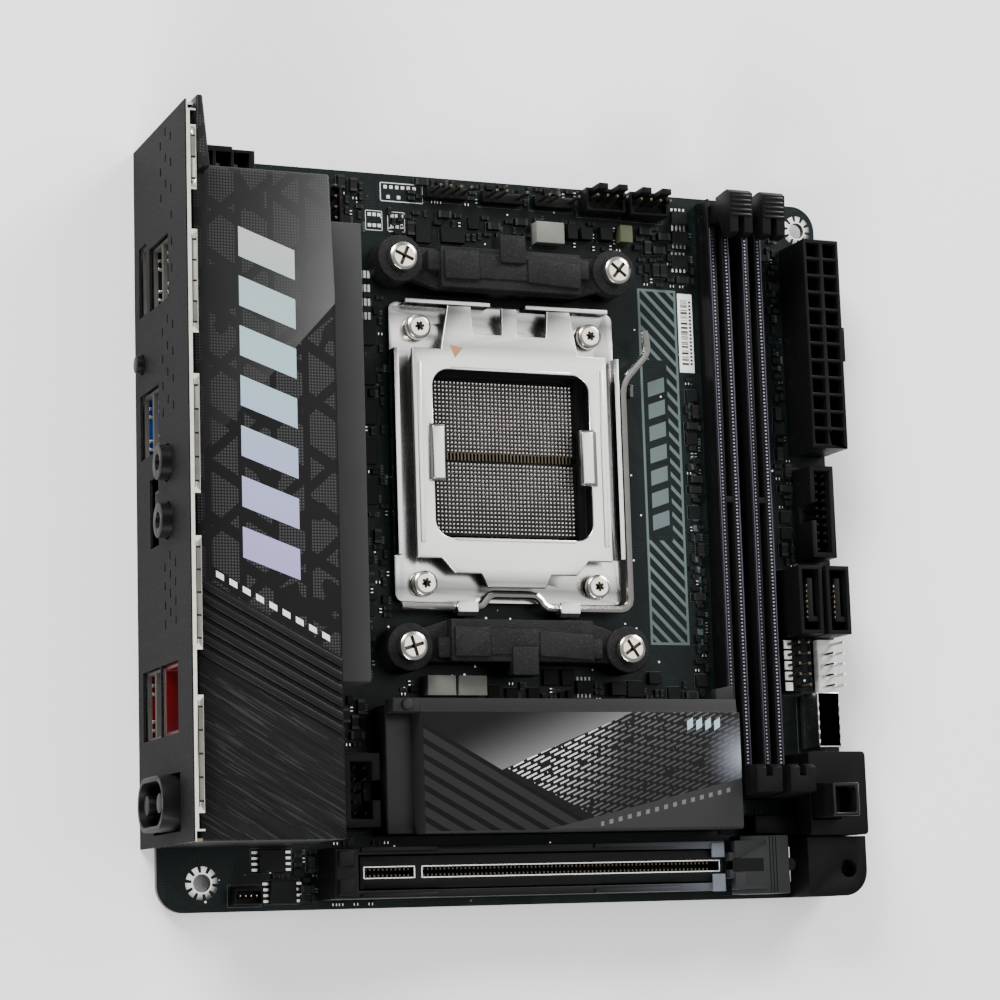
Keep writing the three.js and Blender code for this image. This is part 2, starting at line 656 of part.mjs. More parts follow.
const shieldFront = -SHIELD_LENGTH / 2 + 7.6; // the shield sits nearer the back edge of the board
const shieldBack = shieldFront + SHIELD_LENGTH;
const HOLE_EASE = 0.35;
function ioShield() {
  const inner = shieldOuter + SHIELD_THICKNESS;
  const blank = box(shieldOuter, inner, shieldFront, shieldBack, -SHIELD_BELOW, SHIELD_ABOVE);
  const turned = shieldOuter + SHIELD_RETURN;
  const t = SHIELD_THICKNESS;
  const rims = [
    box(shieldOuter, turned, shieldFront + 2, shieldBack - 2, SHIELD_ABOVE - t, SHIELD_ABOVE),
    box(shieldOuter, turned, shieldFront + 2, shieldBack - 2, -SHIELD_BELOW, t - SHIELD_BELOW),
    box(shieldOuter, turned, shieldFront, shieldFront + t, GAP, SHIELD_ABOVE - 2),
    box(shieldOuter, turned, shieldBack - t, shieldBack, GAP, SHIELD_ABOVE - 2),
  ];
  const mouth = (p, trim = 0) =>
    box(shieldOuter - 1, inner + 0.2, p.y - p.width / 2 + trim, p.y + p.width / 2 - trim, p.low + trim, p.high - trim);
  const mouths = [
    mouth(DISPLAY),
    mouth(USB_BLACK),
    mouth(USB_BLUE),
    box(shieldOuter - 1, inner + 0.2, USB_C.y - 7.6, USB_C.y + 7.6, USB_C.low - 1, USB_C.high + 1.2),
    mouth(USB_RED),
    mouth(NETWORK, 0.3),
    ...JACKS.y.map((y) => cylinderX(y, JACKS.z, JACKS.radius + HOLE_EASE, shieldOuter - 1, inner + 1, 24)),
    box(
      shieldOuter - 1,
      inner + 0.2,
      WIRELESS.y - WIRELESS.width / 2 - HOLE_EASE,
      WIRELESS.y + WIRELESS.width / 2 + HOLE_EASE,
      WIRELESS.z - WIRELESS.height / 2 - HOLE_EASE,
      WIRELESS.z + WIRELESS.height / 2 + HOLE_EASE,
    ),
    cylinderX(REAR_BUTTON.y, REAR_BUTTON.z, REAR_BUTTON.radius + HOLE_EASE, shieldOuter - 1, inner + 1, 20),
  ];
  return cut(join(blank, ...rims), ...mouths);
}
addPart(root, "io_shield", ioShield(), 0x242526, 0.5, 0.3);

// ---------------------------------------------------------------- power connectors
const PLUG_LEDGE = 0.6; // the plug's hook catches under it
function powerConnector(columns, rows, width, depth, height) {
  const body = boxAt(0, 0, width, depth, GAP, height);
  const ledge = boxAt(0, depth / 2, 8.4, 2 * PLUG_LEDGE, height - 5, height);
  const cavities = [];
  for (let c = 0; c < columns; c++) {
    for (let r = 0; r < rows; r++) {
      const x = (c - (columns - 1) / 2) * PLUG_PITCH;
      const y = (r - (rows - 1) / 2) * (PLUG_PITCH + 0.3);
      cavities.push(boxAt(x, y, 3.5, 3.5, height - 9, height + 1));
    }
  }
  return cut(join(body, ledge), ...cavities);
}

const ATX = { width: 51.6, depth: 9.6, height: 13, rightInset: 5.5, backInset: 37.5 };
const atx = addPart(root, "board_power_connector", powerConnector(12, 2, ATX.width, ATX.depth, ATX.height), ...BLACK_PLASTIC);
atx.position.set(right - ATX.rightInset, back - ATX.backInset, 0);
atx.rotation.z = -Math.PI / 2;
const EPS = { width: 18.8, depth: 9.6, height: 13, backInset: 5.8 };
const eps = addPart(root, "processor_power_connector", powerConnector(4, 2, EPS.width, EPS.depth, EPS.height), ...BLACK_PLASTIC);
eps.position.set(rear + 11.6, back - EPS.backInset, 0);

// ---------------------------------------------------------------- memory slots and their latches
const memoryX = [right - MEMORY_FROM_RIGHT, right - MEMORY_FROM_RIGHT + MEMORY_PITCH];
const towerFrontY = front + MEMORY_FRONT_INSET;
const contactFront = towerFrontY + 7.4;
const contactBack = contactFront + MEMORY_CONTACT_LENGTH;
const latchPivotY = contactBack + 3.6;
const LATCH_PIVOT_Z = 3.4;
const LATCH_PIN_RADIUS = 0.9;

function memorySlot() {
  const h = MEMORY_BODY_HEIGHT;
  const half = MEMORY_BODY_WIDTH / 2;
  const body = box(-half, half, towerFrontY + 0.6, contactBack + 7.6, GAP, h);
  const towerHalf = MEMORY_TOWER_WIDTH / 2;
  const tower = prismX(
    outline([
      [towerFrontY, GAP],
      [towerFrontY + 7.2, GAP],
      [towerFrontY + 7.2, MEMORY_TOWER_HEIGHT - 1.2],
      [towerFrontY + 6.4, MEMORY_TOWER_HEIGHT],
      [towerFrontY + 0.8, MEMORY_TOWER_HEIGHT],
      [towerFrontY, 9],
    ]),
    -towerHalf,
    towerHalf,
  );
  const slotHalf = MEMORY_MODULE_SLOT / 2;
  const moduleSlot = box(-slotHalf, slotHalf, towerFrontY + 4.4, contactBack + 9, 3, MEMORY_TOWER_HEIGHT + 1);
  const keyY = (contactFront + contactBack) / 2 - 1.2;
  const key = box(-slotHalf - 0.3, slotHalf + 0.3, keyY - 0.7, keyY + 0.7, 2.5, h);
  const latchRoom = box(-LATCH_WIDTH / 2 - GAP, LATCH_WIDTH / 2 + GAP, contactBack + 0.8, contactBack + 9, 1.2, h + 1);
  const pivot = cylinderX(latchPivotY, LATCH_PIVOT_Z, LATCH_PIN_RADIUS + GAP, -half - 1, half + 1, 14);
  return cut(join(cut(join(body, tower), moduleSlot), key), latchRoom, pivot);
}

// A rocking lever: pivot pins below, and a thumb grip above that reaches in over the module's end.
function memoryLatch() {
  const y = contactBack;
  const stem = prismX(
    outline([
      [y + 1.7, 3],
      [y + 2.4, 1.9],
      [y + 4.6, 1.8],
      [y + 5.6, 3.2],
      [y + 6.2, 7.6],
      [y + 6.4, 13],
      [y + 2, 16],
      [y + 0.7, 13.4],
      [y + 1.2, 9],
    ]),
    -LATCH_WIDTH / 2,
    LATCH_WIDTH / 2,
  );
  const grip = prismX(
    outline([
      [y - 4.2, 15.4],
      [y + 0.7, 13.2],
      [y + 6.4, 12],
      [y + 6.9, 16.8],
      [y + 6.9, 18.4],
      [y + 5.9, LATCH_TOP],
      [y - 3.6, LATCH_TOP - 0.6],
      [y - 4.2, LATCH_TOP - 1.8],
    ]),
    -LATCH_GRIP_WIDTH / 2,
    LATCH_GRIP_WIDTH / 2,
  );
  const half = MEMORY_BODY_WIDTH / 2;
  const pin = cylinderX(latchPivotY, LATCH_PIVOT_Z, LATCH_PIN_RADIUS, -half, half, 12);
  const slotHalf = MEMORY_MODULE_SLOT / 2;
  const moduleNotch = box(-slotHalf, slotHalf, y - 6, y + 0.9, 7, LATCH_TOP + 1);
  return cut(join(stem, grip, pin), moduleNotch);
}

memoryX.forEach((x, i) => {
  addPart(root, `memory_slot_${i + 1}`, memorySlot(), ...BLACK_PLASTIC).position.x = x;
  addPart(root, `memory_latch_${i + 1}`, memoryLatch(), ...BLACK_PLASTIC).position.x = x;
});

// ---------------------------------------------------------------- expansion card slot
const slotStart = rear + CARD_SLOT_FROM_REAR;
const slotEnd = slotStart + CARD_SLOT_LENGTH;
const slotY = front + CARD_SLOT_FRONT_INSET;
const KEY_START = 12.9;
const KEY_WIDTH = 1.5;

function cardSlot() {
  const half = CARD_SLOT_WIDTH / 2;
  const body = box(slotStart, slotEnd, slotY - half, slotY + half, GAP, CARD_SLOT_HEIGHT);
  const opening = CARD_SLOT_OPENING / 2;
  const short = box(slotStart + 1.4, slotStart + KEY_START, slotY - opening, slotY + opening, 3, 20);
  const long = box(slotStart + KEY_START + KEY_WIDTH, slotEnd - 1.4, slotY - opening, slotY + opening, 3, 20);
  return cut(body, short, long);
}

// A folded steel jacket over the slot, open along the top.
function slotArmour() {
  const outer = ARMOUR_WIDTH / 2;
  const inner = CARD_SLOT_WIDTH / 2 + GAP;
  const x0 = slotStart - ARMOUR_HEEL;
  const x1 = slotEnd + 0.2;
  const top = CARD_SLOT_HEIGHT + 0.2;
  const jacket = box(x0, x1, slotY - outer, slotY + outer, GAP, top);
  const tabs = [-1, 1].map((side) => boxAt(x0 + 2.6, slotY + side * 3.1, 3.6, 3.4, top - 0.5, top + 1));
  const room = box(slotStart - GAP, x1 + 1, slotY - inner, slotY + inner, 0, CARD_SLOT_HEIGHT + 1);
  const hollow = [-1, 1].map((side) =>
    box(
      x0 + ARMOUR_HEEL,
      x1 + 1,
      side > 0 ? slotY + inner + ARMOUR_WALL : slotY - outer + ARMOUR_WALL,
      side > 0 ? slotY + outer - ARMOUR_WALL : slotY - inner - ARMOUR_WALL,
      0,
      CARD_SLOT_HEIGHT - ARMOUR_WALL,
    ),
  );
  return join(cut(jacket, room, ...hollow), ...tabs);
}

// The wide latch at the slot's end rocks away from the card when the release button is pressed.
const LATCH_ROOM = 0.5;
const cardLatchStart = slotEnd + 0.2 + LATCH_ROOM;
const CARD_LATCH_LENGTH = 15.6;
const CARD_LATCH_WIDTH = 13.4;
const CARD_LATCH_TOP = 13;
function cardLatch() {
  const half = CARD_LATCH_WIDTH / 2;
  const x0 = cardLatchStart;
  const foot = box(x0 + 7, x0 + CARD_LATCH_LENGTH, slotY - half, slotY + half, 1.6, CARD_LATCH_TOP);
  const head = box(x0 + 2.9, x0 + CARD_LATCH_LENGTH, slotY - half, slotY + half, 7.4, CARD_LATCH_TOP);
  const hook = box(x0, x0 + 4, slotY - 3, slotY + 3, 9, CARD_LATCH_TOP);
  return cut(join(foot, head, hook), box(x0 - 1, x0 + 2.4, slotY - 1, slotY + 1, 7, CARD_LATCH_TOP + 1));
}

addPart(root, "expansion_slot", cardSlot(), ...BLACK_PLASTIC);
addPart(root, "slot_armour", slotArmour(), ...BLACK_METAL);
addPart(root, "slot_latch", cardLatch(), ...BLACK_PLASTIC);

// ---------------------------------------------------------------- card release button and corner block
const blockLeft = right - 15.4;
const housingFront = front + 14.2;
const housingBack = housingFront + 19.6;
const buttonX = blockLeft + 0.9 + BUTTON_SIZE_X / 2;
const buttonY = front + 22;
const WELL_FLOOR = 3;

function buttonHousing() {
  const block = prism(
    roundedRectangle(blockLeft, right - 0.1, housingFront, housingBack, 1),
    GAP,
    BUTTON_HOUSING_TOP,
  );
  const well = boxAt(
    buttonX,
    buttonY,
    BUTTON_SIZE_X + 2 * BUTTON_CLEARANCE,
    BUTTON_SIZE_Y + 2 * BUTTON_CLEARANCE,
    WELL_FLOOR,
    BUTTON_HOUSING_TOP + 1,
  );
  return cut(block, well);
}

function releaseButton() {
  const low = WELL_FLOOR + BUTTON_TRAVEL + 0.5;
  const wall = 0.9;
  const post = boxAt(buttonX, buttonY, BUTTON_SIZE_X, BUTTON_SIZE_Y, low, BUTTON_TOP);
  const hollow = boxAt(
    buttonX,
    buttonY,
    BUTTON_SIZE_X - 2 * wall,
    BUTTON_SIZE_Y - 2 * wall,
    BUTTON_TOP - 8,
    BUTTON_TOP + 1,
  );
  return cut(post, hollow);
}

function cornerBlock() {
  const r = BOARD_CORNER_RADIUS;
  const shape = new THREE.Shape();
  shape.moveTo(blockLeft - 0.2, front);
  shape.lineTo(right - r, front);
  shape.absarc(right - r, front + r, r, -Math.PI / 2, 0);
  shape.lineTo(right, housingFront - GAP);
  shape.lineTo(blockLeft - 0.2, housingFront - GAP);
  const [holeX, holeY] = mountHoles[3];
  return cut(prism(shape, GAP, CORNER_BLOCK_TOP), cylinder(holeX, holeY, 2.1, 0, 20, 20));
}

// The bar that carries the button's push across to the slot latch; it slides towards the slot.
const linkRight = blockLeft - 0.5;
const linkFront = slotY + CARD_LATCH_WIDTH / 2 + 0.5;
const releaseLink = box(linkRight - 11, linkRight, linkFront, linkFront + 4.6, 1, 6);

addPart(root, "release_link", releaseLink, ...BLACK_PLASTIC);
addPart(root, "button_housing", buttonHousing(), ...BLACK_PLASTIC);
addPart(root, "release_button", releaseButton(), ...BLACK_PLASTIC);
addPart(root, "corner_block", cornerBlock(), ...BLACK_PLASTIC);

// ---------------------------------------------------------------- drive heatsink and chipset block
const driveFront = slotY + ARMOUR_WIDTH / 2 + 2.6;
const DRIVE_BEHIND_HOOK = 5.55;
const driveBack = socketY - COOLER_PITCH_Y / 2 - HOOK_REACH - DRIVE_BEHIND_HOOK;
const driveLeft = slotStart + 13.9;
const driveRight = memoryX[0] - MEMORY_BODY_WIDTH / 2 - 1.8;
const LEDGE_LEFT_REACH = 6.4;

function driveHeatsink() {
  const low = DRIVE_BASE_TOP + GAP;
  const top = DRIVE_HEATSINK_TOP;
  const profile = outline([
    [driveFront, low],
    [driveBack, low],
    [driveBack, top - 1.6],
    [driveBack - 3, top - 1.2],
    [driveBack - 3.2, top],
    [driveFront + 0.5, top],
    [driveFront, top - 0.5],
  ]);
  const slab = prismX(profile, driveLeft, driveRight);
  const ledge = box(driveLeft - LEDGE_LEFT_REACH, driveLeft + 1, driveBack - 3, driveBack, low, top - 1.6);
  return join(slab, ledge);
}

function chipsetBlock() {
  return box(driveLeft - LEDGE_LEFT_REACH, driveRight, driveFront, driveBack - 1, 1, DRIVE_BASE_TOP);
}

addPart(root, "drive_heatsink", driveHeatsink(), 0x1c1c1e, 0.35, 0.5);
addPart(root, "chipset_heatsink", chipsetBlock(), ...BLACK_METAL);

// ---------------------------------------------------------------- internal headers
// A grid of posts; skip lists the ones that are left out as a key.
function posts(columns, rows, low, high, skip = [], pitch = PIN_PITCH) {
  const list = [];
  for (let c = 0; c < columns; c++) {
    for (let r = 0; r < rows; r++) {
      if (skip.includes(c * rows + r)) continue;
      const x = (c - (columns - 1) / 2) * pitch;
      const y = (r - (rows - 1) / 2) * pitch;
      list.push(boxAt(x, y, PIN_SIZE, PIN_SIZE, low, high));
    }
  }
  return list;
}

function openHeader(columns, rows, skip) {
  const base = boxAt(0, 0, columns * PIN_PITCH, rows * PIN_PITCH, GAP, PIN_PITCH);
  return join(base, ...posts(columns, rows, 1, 8.6, skip));
}

// A pin header in a box with a key notch in the middle of one long wall.
function boxedHeader(columns, rows, skip, wall, height, pitch = PIN_PITCH) {
  const width = columns * pitch + 2 * wall;
  const depth = rows * pitch + 2 * wall;
  const shell = boxAt(0, 0, width, depth, GAP, height);
  const inside = boxAt(0, 0, width - 2 * wall, depth - 2 * wall, 2.2, height + 1);
  const notch = boxAt(0, depth / 2, 4.4, 2 * wall + 0.4, 2.8, height + 1);
  return join(cut(shell, inside, notch), ...posts(columns, rows, 1.5, height - 1.2, skip, pitch));
}

function fanHeader() {
  const base = boxAt(0, 0, 10.2, 5.6, GAP, 3.2);
  const guides = [-2.6, 2.6].map((x) => boxAt(x, 2.1, 2.4, 1.4, 1, 9.6));
  const rim = cut(boxAt(0, 0, 10.2, 5.6, 1, 5), boxAt(0, -0.1, 8.8, 4.2, 3, 6));
  return join(base, rim, ...guides, ...posts(4, 1, 1, 9));
}

function serialDrivePort() {
  const shell = boxAt(0, 0, 6.2, 16.4, GAP, 12);
  const mouth = boxAt(0, 0, 4.4, 14.6, 5, 13);
  const tongue = join(boxAt(0, 0, 1.3, 10.4, 4, 11.4), boxAt(0.9, -4.6, 2, 1.2, 4, 11.4));
  return join(cut(shell, mouth), tongue);
}

function usbCHeader() {
  const shell = boxAt(0, 0, 6.1, 13.2, GAP, 9.2);
  const mouth = boxAt(0, 0, 4.9, 12, 2, 10);
  return join(cut(shell, mouth), boxAt(0, 0, 0.9, 9.4, 1.5, 8));
}

// name, shape, x, y, quarter turns, finish
const WHITE_PLASTIC = [0xe6e6e2, 0.5, 0];
const topRow = back - 4.1;
const headers = [
  ["audio_header", boxedHeader(5, 2, [7], 1.9, 9), coverRight + 12.2, front + 25.8, 3, BLACK_PLASTIC],
  ["usb_header", boxedHeader(10, 2, [0], 1.2, 9, USB_PITCH), right - 6.2, socketY - 11.1, 1, BLACK_PLASTIC],
  ["front_panel_header", openHeader(5, 2, [9]), right - 3.5, front + 55.1, 1, WHITE_PLASTIC],
  ["speaker_header", openHeader(5, 2, [1]), right - 12.9, front + 55.1, 1, BLACK_PLASTIC],
  ["led_header", openHeader(4, 1, []), rear + 71.3, topRow, 0, BLACK_PLASTIC],
  ["rgb_header_1", openHeader(4, 1, [2]), rear + 85.4, topRow - 0.2, 0, BLACK_PLASTIC],
  ["rgb_header_2", openHeader(4, 1, [2]), rear + 98.8, topRow - 0.2, 0, BLACK_PLASTIC],
  ["case_fan_header", fanHeader(), rear + 111.2, topRow + 0.6, 0, BLACK_PLASTIC],
  ["pump_fan_header", fanHeader(), rear + 122.6, topRow + 0.4, 0, BLACK_PLASTIC],
  ["processor_fan_header", fanHeader(), rear + 41.4, back - 10.1, 1, BLACK_PLASTIC],
  ["usb_c_header", usbCHeader(), right - 7.4, front + 41.6, 0, BARE_STEEL],
  ["drive_port_1", serialDrivePort(), right - 12.2, front + 70, 0, BLACK_PLASTIC],
  ["drive_port_2", serialDrivePort(), right - 4.8, front + 70, 0, BLACK_PLASTIC],
];
for (const [name, geometry, x, y, turns, finish] of headers) {
  const mesh = addPart(root, name, geometry, ...finish);
  mesh.position.set(x, y, 0);
  mesh.rotation.z = (turns * Math.PI) / 2;
}
const smallFan = join(
  cut(boxAt(0, 0, 6.6, 3.8, GAP, 3.8), boxAt(0, -0.3, 5.6, 2.6, 1.6, 5)),
  ...[-1.875, -0.625, 0.625, 1.875].map((x) => boxAt(x, -0.3, 0.4, 0.4, 1, 3.4)),
);
addPart(root, "port_fan_header", smallFan, ...BLACK_PLASTIC).position.set(rear + 19.7, front + 3.4, 0);

// ---------------------------------------------------------------- origin
root.updateMatrixWorld(true);
const bounds = new THREE.Box3().setFromObject(root);
const middle = bounds.getCenter(new THREE.Vector3());
root.position.set(-middle.x, -middle.y, -bounds.min.z);
const part = new THREE.Group();
part.add(root);
export default part;
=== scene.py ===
# %% [markdown]
# # A small computer motherboard
# The CAD model holds the sizes, the joints and every separate piece. This notebook gives the pieces
# their finish: soft edges, metal, moulded plastic, printed patterns, and the hundreds of tiny parts
# that are soldered to the board. The frame is loaded first, because every place is taken from it.

# %% Load the frame
import json
import math
import random

import bpy
from mathutils import Matrix, Vector

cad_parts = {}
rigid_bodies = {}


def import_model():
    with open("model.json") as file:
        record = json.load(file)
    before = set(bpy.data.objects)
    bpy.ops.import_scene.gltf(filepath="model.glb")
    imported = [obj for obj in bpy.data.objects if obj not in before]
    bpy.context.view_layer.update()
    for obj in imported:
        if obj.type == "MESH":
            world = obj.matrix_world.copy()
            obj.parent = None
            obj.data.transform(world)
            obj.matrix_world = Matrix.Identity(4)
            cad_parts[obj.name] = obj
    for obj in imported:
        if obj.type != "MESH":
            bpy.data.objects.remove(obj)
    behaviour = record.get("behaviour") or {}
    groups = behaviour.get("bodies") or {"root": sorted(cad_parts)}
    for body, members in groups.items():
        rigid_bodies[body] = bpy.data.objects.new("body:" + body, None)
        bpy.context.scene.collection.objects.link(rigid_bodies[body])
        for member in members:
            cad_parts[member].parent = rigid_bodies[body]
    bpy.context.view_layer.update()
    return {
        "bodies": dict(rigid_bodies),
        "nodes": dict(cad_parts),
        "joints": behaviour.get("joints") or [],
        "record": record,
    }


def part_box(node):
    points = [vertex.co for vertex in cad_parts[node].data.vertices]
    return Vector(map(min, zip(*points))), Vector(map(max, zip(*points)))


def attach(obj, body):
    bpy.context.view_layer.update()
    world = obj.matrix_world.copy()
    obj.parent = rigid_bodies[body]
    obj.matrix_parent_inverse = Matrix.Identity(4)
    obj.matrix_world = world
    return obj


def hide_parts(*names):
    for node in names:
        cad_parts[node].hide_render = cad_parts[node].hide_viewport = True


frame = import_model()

MM = 0.001
nodes = frame["nodes"]
board_low, board_high = (Vector(corner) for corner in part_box("circuit_board"))
HOME = Vector(((board_low.x + board_high.x) / 2, (board_low.y + board_high.y) / 2, board_high.z))


def at(x, y, z=0.0):
    """A point given in millimetres from the middle of the board's top face."""
    return HOME + Vector((x, y, z)) * MM


def span(node):
    """A node's box in the same millimetres: x0, x1, y0, y1, z0, z1."""
    low, high = ((Vector(corner) - HOME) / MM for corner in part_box(node))
    return low.x, high.x, low.y, high.y, low.z, high.z


print("board", [round(v, 2) for v in span("circuit_board")])

# %% [markdown]
# ## Camera, floor and light
# The camera stands to the left and a little in front of the board, looking down at it through a long
# lens, so lines that are parallel on the board stay nearly parallel. A pale floor and large soft
# lights suit black plastic: it shows form only through wide, gentle reflections, and small hard
# lamps would leave it black with a few hot spots.

# %% Camera
CAMERA_PLACE = (-242.758, -92.804, 586.405)
CAMERA_TURNS = (9.7914, -22.0588, -1.8870)
CAMERA_LENS = 99.05
bpy.ops.object.select_all(action="DESELECT")
bpy.ops.object.camera_add(location=at(*CAMERA_PLACE))
camera = bpy.context.object
camera.name = "camera"
camera.rotation_euler = [math.radians(turn) for turn in CAMERA_TURNS]
camera.data.lens = CAMERA_LENS
camera.data.sensor_width = 36
camera.data.clip_end = 20
bpy.context.scene.camera = camera
print("camera", [round(v, 3) for v in camera.location])

# %% Floor and lights
bpy.ops.mesh.primitive_plane_add(size=6, location=(0, 0, 0))
floor = bpy.context.object
floor.name = "floor"
pale = bpy.data.materials.new("pale_floor")
pale.use_nodes = True
pale_shader = pale.node_tree.nodes["Principled BSDF"]
pale_shader.inputs["Base Color"].default_value = (0.95, 0.95, 0.95, 1)
pale_shader.inputs["Roughness"].default_value = 0.7
floor.data.materials.append(pale)


def soft_light(name, place, size, power):
    """A rectangular lamp in metres and watts, aimed at the middle of the board."""
    bpy.ops.object.light_add(type="AREA", location=place)
    lamp = bpy.context.object
    lamp.name = name
    lamp.data.shape = "RECTANGLE"
    lamp.data.size, lamp.data.size_y = size
    lamp.data.energy = power
    aim = Vector((0, 0, 0.01)) - Vector(place)
    lamp.rotation_euler = aim.to_track_quat("-Z", "Y").to_euler()


soft_light("overhead", (0.56, 0.16, 1.15), (1.0, 1.3), 8)
soft_light("back_left", (-0.75, 1.1, 0.85), (0.7, 0.7), 42)
soft_light("back_right", (1.1, 1.0, 0.6), (0.6, 0.6), 26)
soft_light("front_low", (-0.5, -1.1, 0.65), (0.9, 0.4), 26)
world = bpy.data.worlds.new("studio")
bpy.context.scene.world = world
world.use_nodes = True
background = world.node_tree.nodes["Background"]
background.inputs["Color"].default_value = (0.96, 0.98, 1, 1)
background.inputs["Strength"].default_value = 0.26

# %% [markdown]
# ## Writing shader maths as sums
# A finish is a recipe such as "dark where the stripe is, and rougher where the noise is high". Nodes
# can say that, but a page of links is hard to read. `Wire` wraps a socket, so that ordinary Python
# operators add the Math nodes. `Finish` holds one material and adds every other kind of node.

# %% Wires and finishes
class Wire:
    """An output socket that sums, products and comparisons can be written with."""

    def __init__(self, finish, socket):
        self.finish = finish
        self.socket = socket

    def maths(self, operation, *others):
        return self.finish.add("ShaderNodeMath", {"operation": operation}, dict(enumerate((self, *others))))

    def __add__(self, other):
        return self.maths("ADD", other)

    def __sub__(self, other):
        return self.maths("SUBTRACT", other)

    def __rsub__(self, other):
        return self.finish.add("ShaderNodeMath", {"operation": "SUBTRACT"}, {0: other, 1: self})

    def __mul__(self, other):
        return self.maths("MULTIPLY", other)

    def __truediv__(self, other):
        return self.maths("DIVIDE", other)

    def __gt__(self, other):
        return self.maths("GREATER_THAN", other)

    def __lt__(self, other):
        return self.maths("LESS_THAN", other)

    def __abs__(self):
        return self.maths("ABSOLUTE")

    __radd__ = __add__
    __rmul__ = __mul__

    def repeat(self, pitch):
        """0 to 1, over and over, once in each pitch."""
        return (self / pitch).maths("FRACT")

    def between(self, low, high):
        """1 between two values and 0 outside them."""
        return (self > low) * (self < high)


class Finish:
    """One material, and short ways to add its nodes."""

    def __init__(self, name):
        self.material = bpy.data.materials.new(name)
        self.material.use_nodes = True
        self.tree = self.material.node_tree
        self.shader = self.tree.nodes["Principled BSDF"]

    def add(self, kind, settings=None, values=None, output=0):
        node = self.tree.nodes.new(kind)
        for key, value in (settings or {}).items():
            if key == "stops":
                ramp = node.color_ramp.elements
                while len(ramp) < len(value):
                    ramp.new(0.5)
                for stop, (place, colour) in zip(ramp, value):
                    stop.position = place
                    stop.color = (*colour, 1)
            else:
                setattr(node, key, value)
        for key, value in (values or {}).items():
            self.feed(node.inputs[key], value)
        return Wire(self, node.outputs[output])

    def feed(self, socket, value):
        if isinstance(value, Wire):
            self.tree.links.new(value.socket, socket)
        elif isinstance(value, tuple) and len(value) == 3 and socket.type == "RGBA":
            socket.default_value = (*value, 1)
        else:
            socket.default_value = value

    def place(self):
        """Millimetres from the middle of the board's top face, as three wires."""
        texture = self.add("ShaderNodeTexCoord", output="Object")
        centred = self.add("ShaderNodeVectorMath", {"operation": "SUBTRACT"}, {0: texture, 1: tuple(HOME)})
        scaled = self.add("ShaderNodeVectorMath", {"operation": "SCALE"}, {0: centred, "Scale": 1000.0})
        self.spot = scaled
        return [self.part(scaled, axis) for axis in range(3)]

    def point(self, x, y, z=0.0):
        return self.add("ShaderNodeCombineXYZ", values={0: x, 1: y, 2: z})

    def noise(self, scale, detail=3.0, spot=None):
        values = {"Vector": spot or self.spot, "Scale": scale, "Detail": detail}
        return self.add("ShaderNodeTexNoise", values=values)

    def cells(self, scale, spot=None, output="Distance", **settings):
        values = {"Vector": spot or self.spot, "Scale": scale}
        return self.add("ShaderNodeTexVoronoi", settings, values, output)

    def part(self, wire, axis=0):
        """One of the three numbers in a colour or a vector."""
        return self.add("ShaderNodeSeparateXYZ", values={0: wire}, output=axis)

    def away(self, x, y):
        """The length of (x, y)."""
        return (x * x + y * y).maths("SQRT")

    def mix(self, factor, low, high):
        node = self.tree.nodes.new("ShaderNodeMix")
        node.data_type = "RGBA"
        self.feed(node.inputs[0], factor)
        self.feed(node.inputs[6], low)
        self.feed(node.inputs[7], high)
        return Wire(self, node.outputs[2])

    def bump(self, height, depth, strength=1.0, under=None):
        values = {"Height": height, "Distance": depth * MM, "Strength": strength}
        if under:
            values["Normal"] = under
        return self.add("ShaderNodeBump", values=values)

    def surface(self, **values):
        for key, value in values.items():
            self.feed(self.shader.inputs[key.replace("_", " ")], value)
        return self.material


print("shader maths ready")

# %% [markdown]
# ## Plain finishes
# Moulded plastic carries the fine grain of its mould, so it gets a very small bump and a roughness
# that wanders. Plated sheet shows faint drawn lines. Each is a function of a few numbers, because the
# board uses the same few finishes again and again in slightly different shades.

# %% Moulded plastic, coated metal and plated metal
def moulded(name, colour, rough=0.42, grain=0.012, spread=0.25, shine=0.08):
    paint = Finish(name)
    paint.place()
    fine = paint.noise(7.0, 4.0)
    broad = paint.noise(0.35, 2.0)
    darker = tuple(c * (1 - spread) for c in colour)
    lighter = tuple(c * (1 + spread) for c in colour)
    return paint.surface(
        Base_Color=paint.mix(broad * 0.7 + fine * 0.3, darker, lighter),
        Roughness=rough - 0.08 + broad * 0.16,
        Specular_IOR_Level=shine,
        Normal=paint.bump(fine, grain),
    )


LINE_DEPTH = 0.004


def plated(name, colour, rough=0.24, wear=0.1):
    paint = Finish(name)
    x, y, z = paint.place()
    lines = paint.noise(1.6, 4.0, paint.point(x * 0.15, y * 6.0, z * 6.0))
    cloud = paint.noise(0.25, 3.0)
    dull = tuple(c * (1 - wear) for c in colour)
    return paint.surface(
        Base_Color=paint.mix(cloud, dull, colour),
        Metallic=1.0,
        Roughness=rough - 0.05 + lines * 0.08 + cloud * 0.06,
        Normal=paint.bump(lines, LINE_DEPTH),
    )


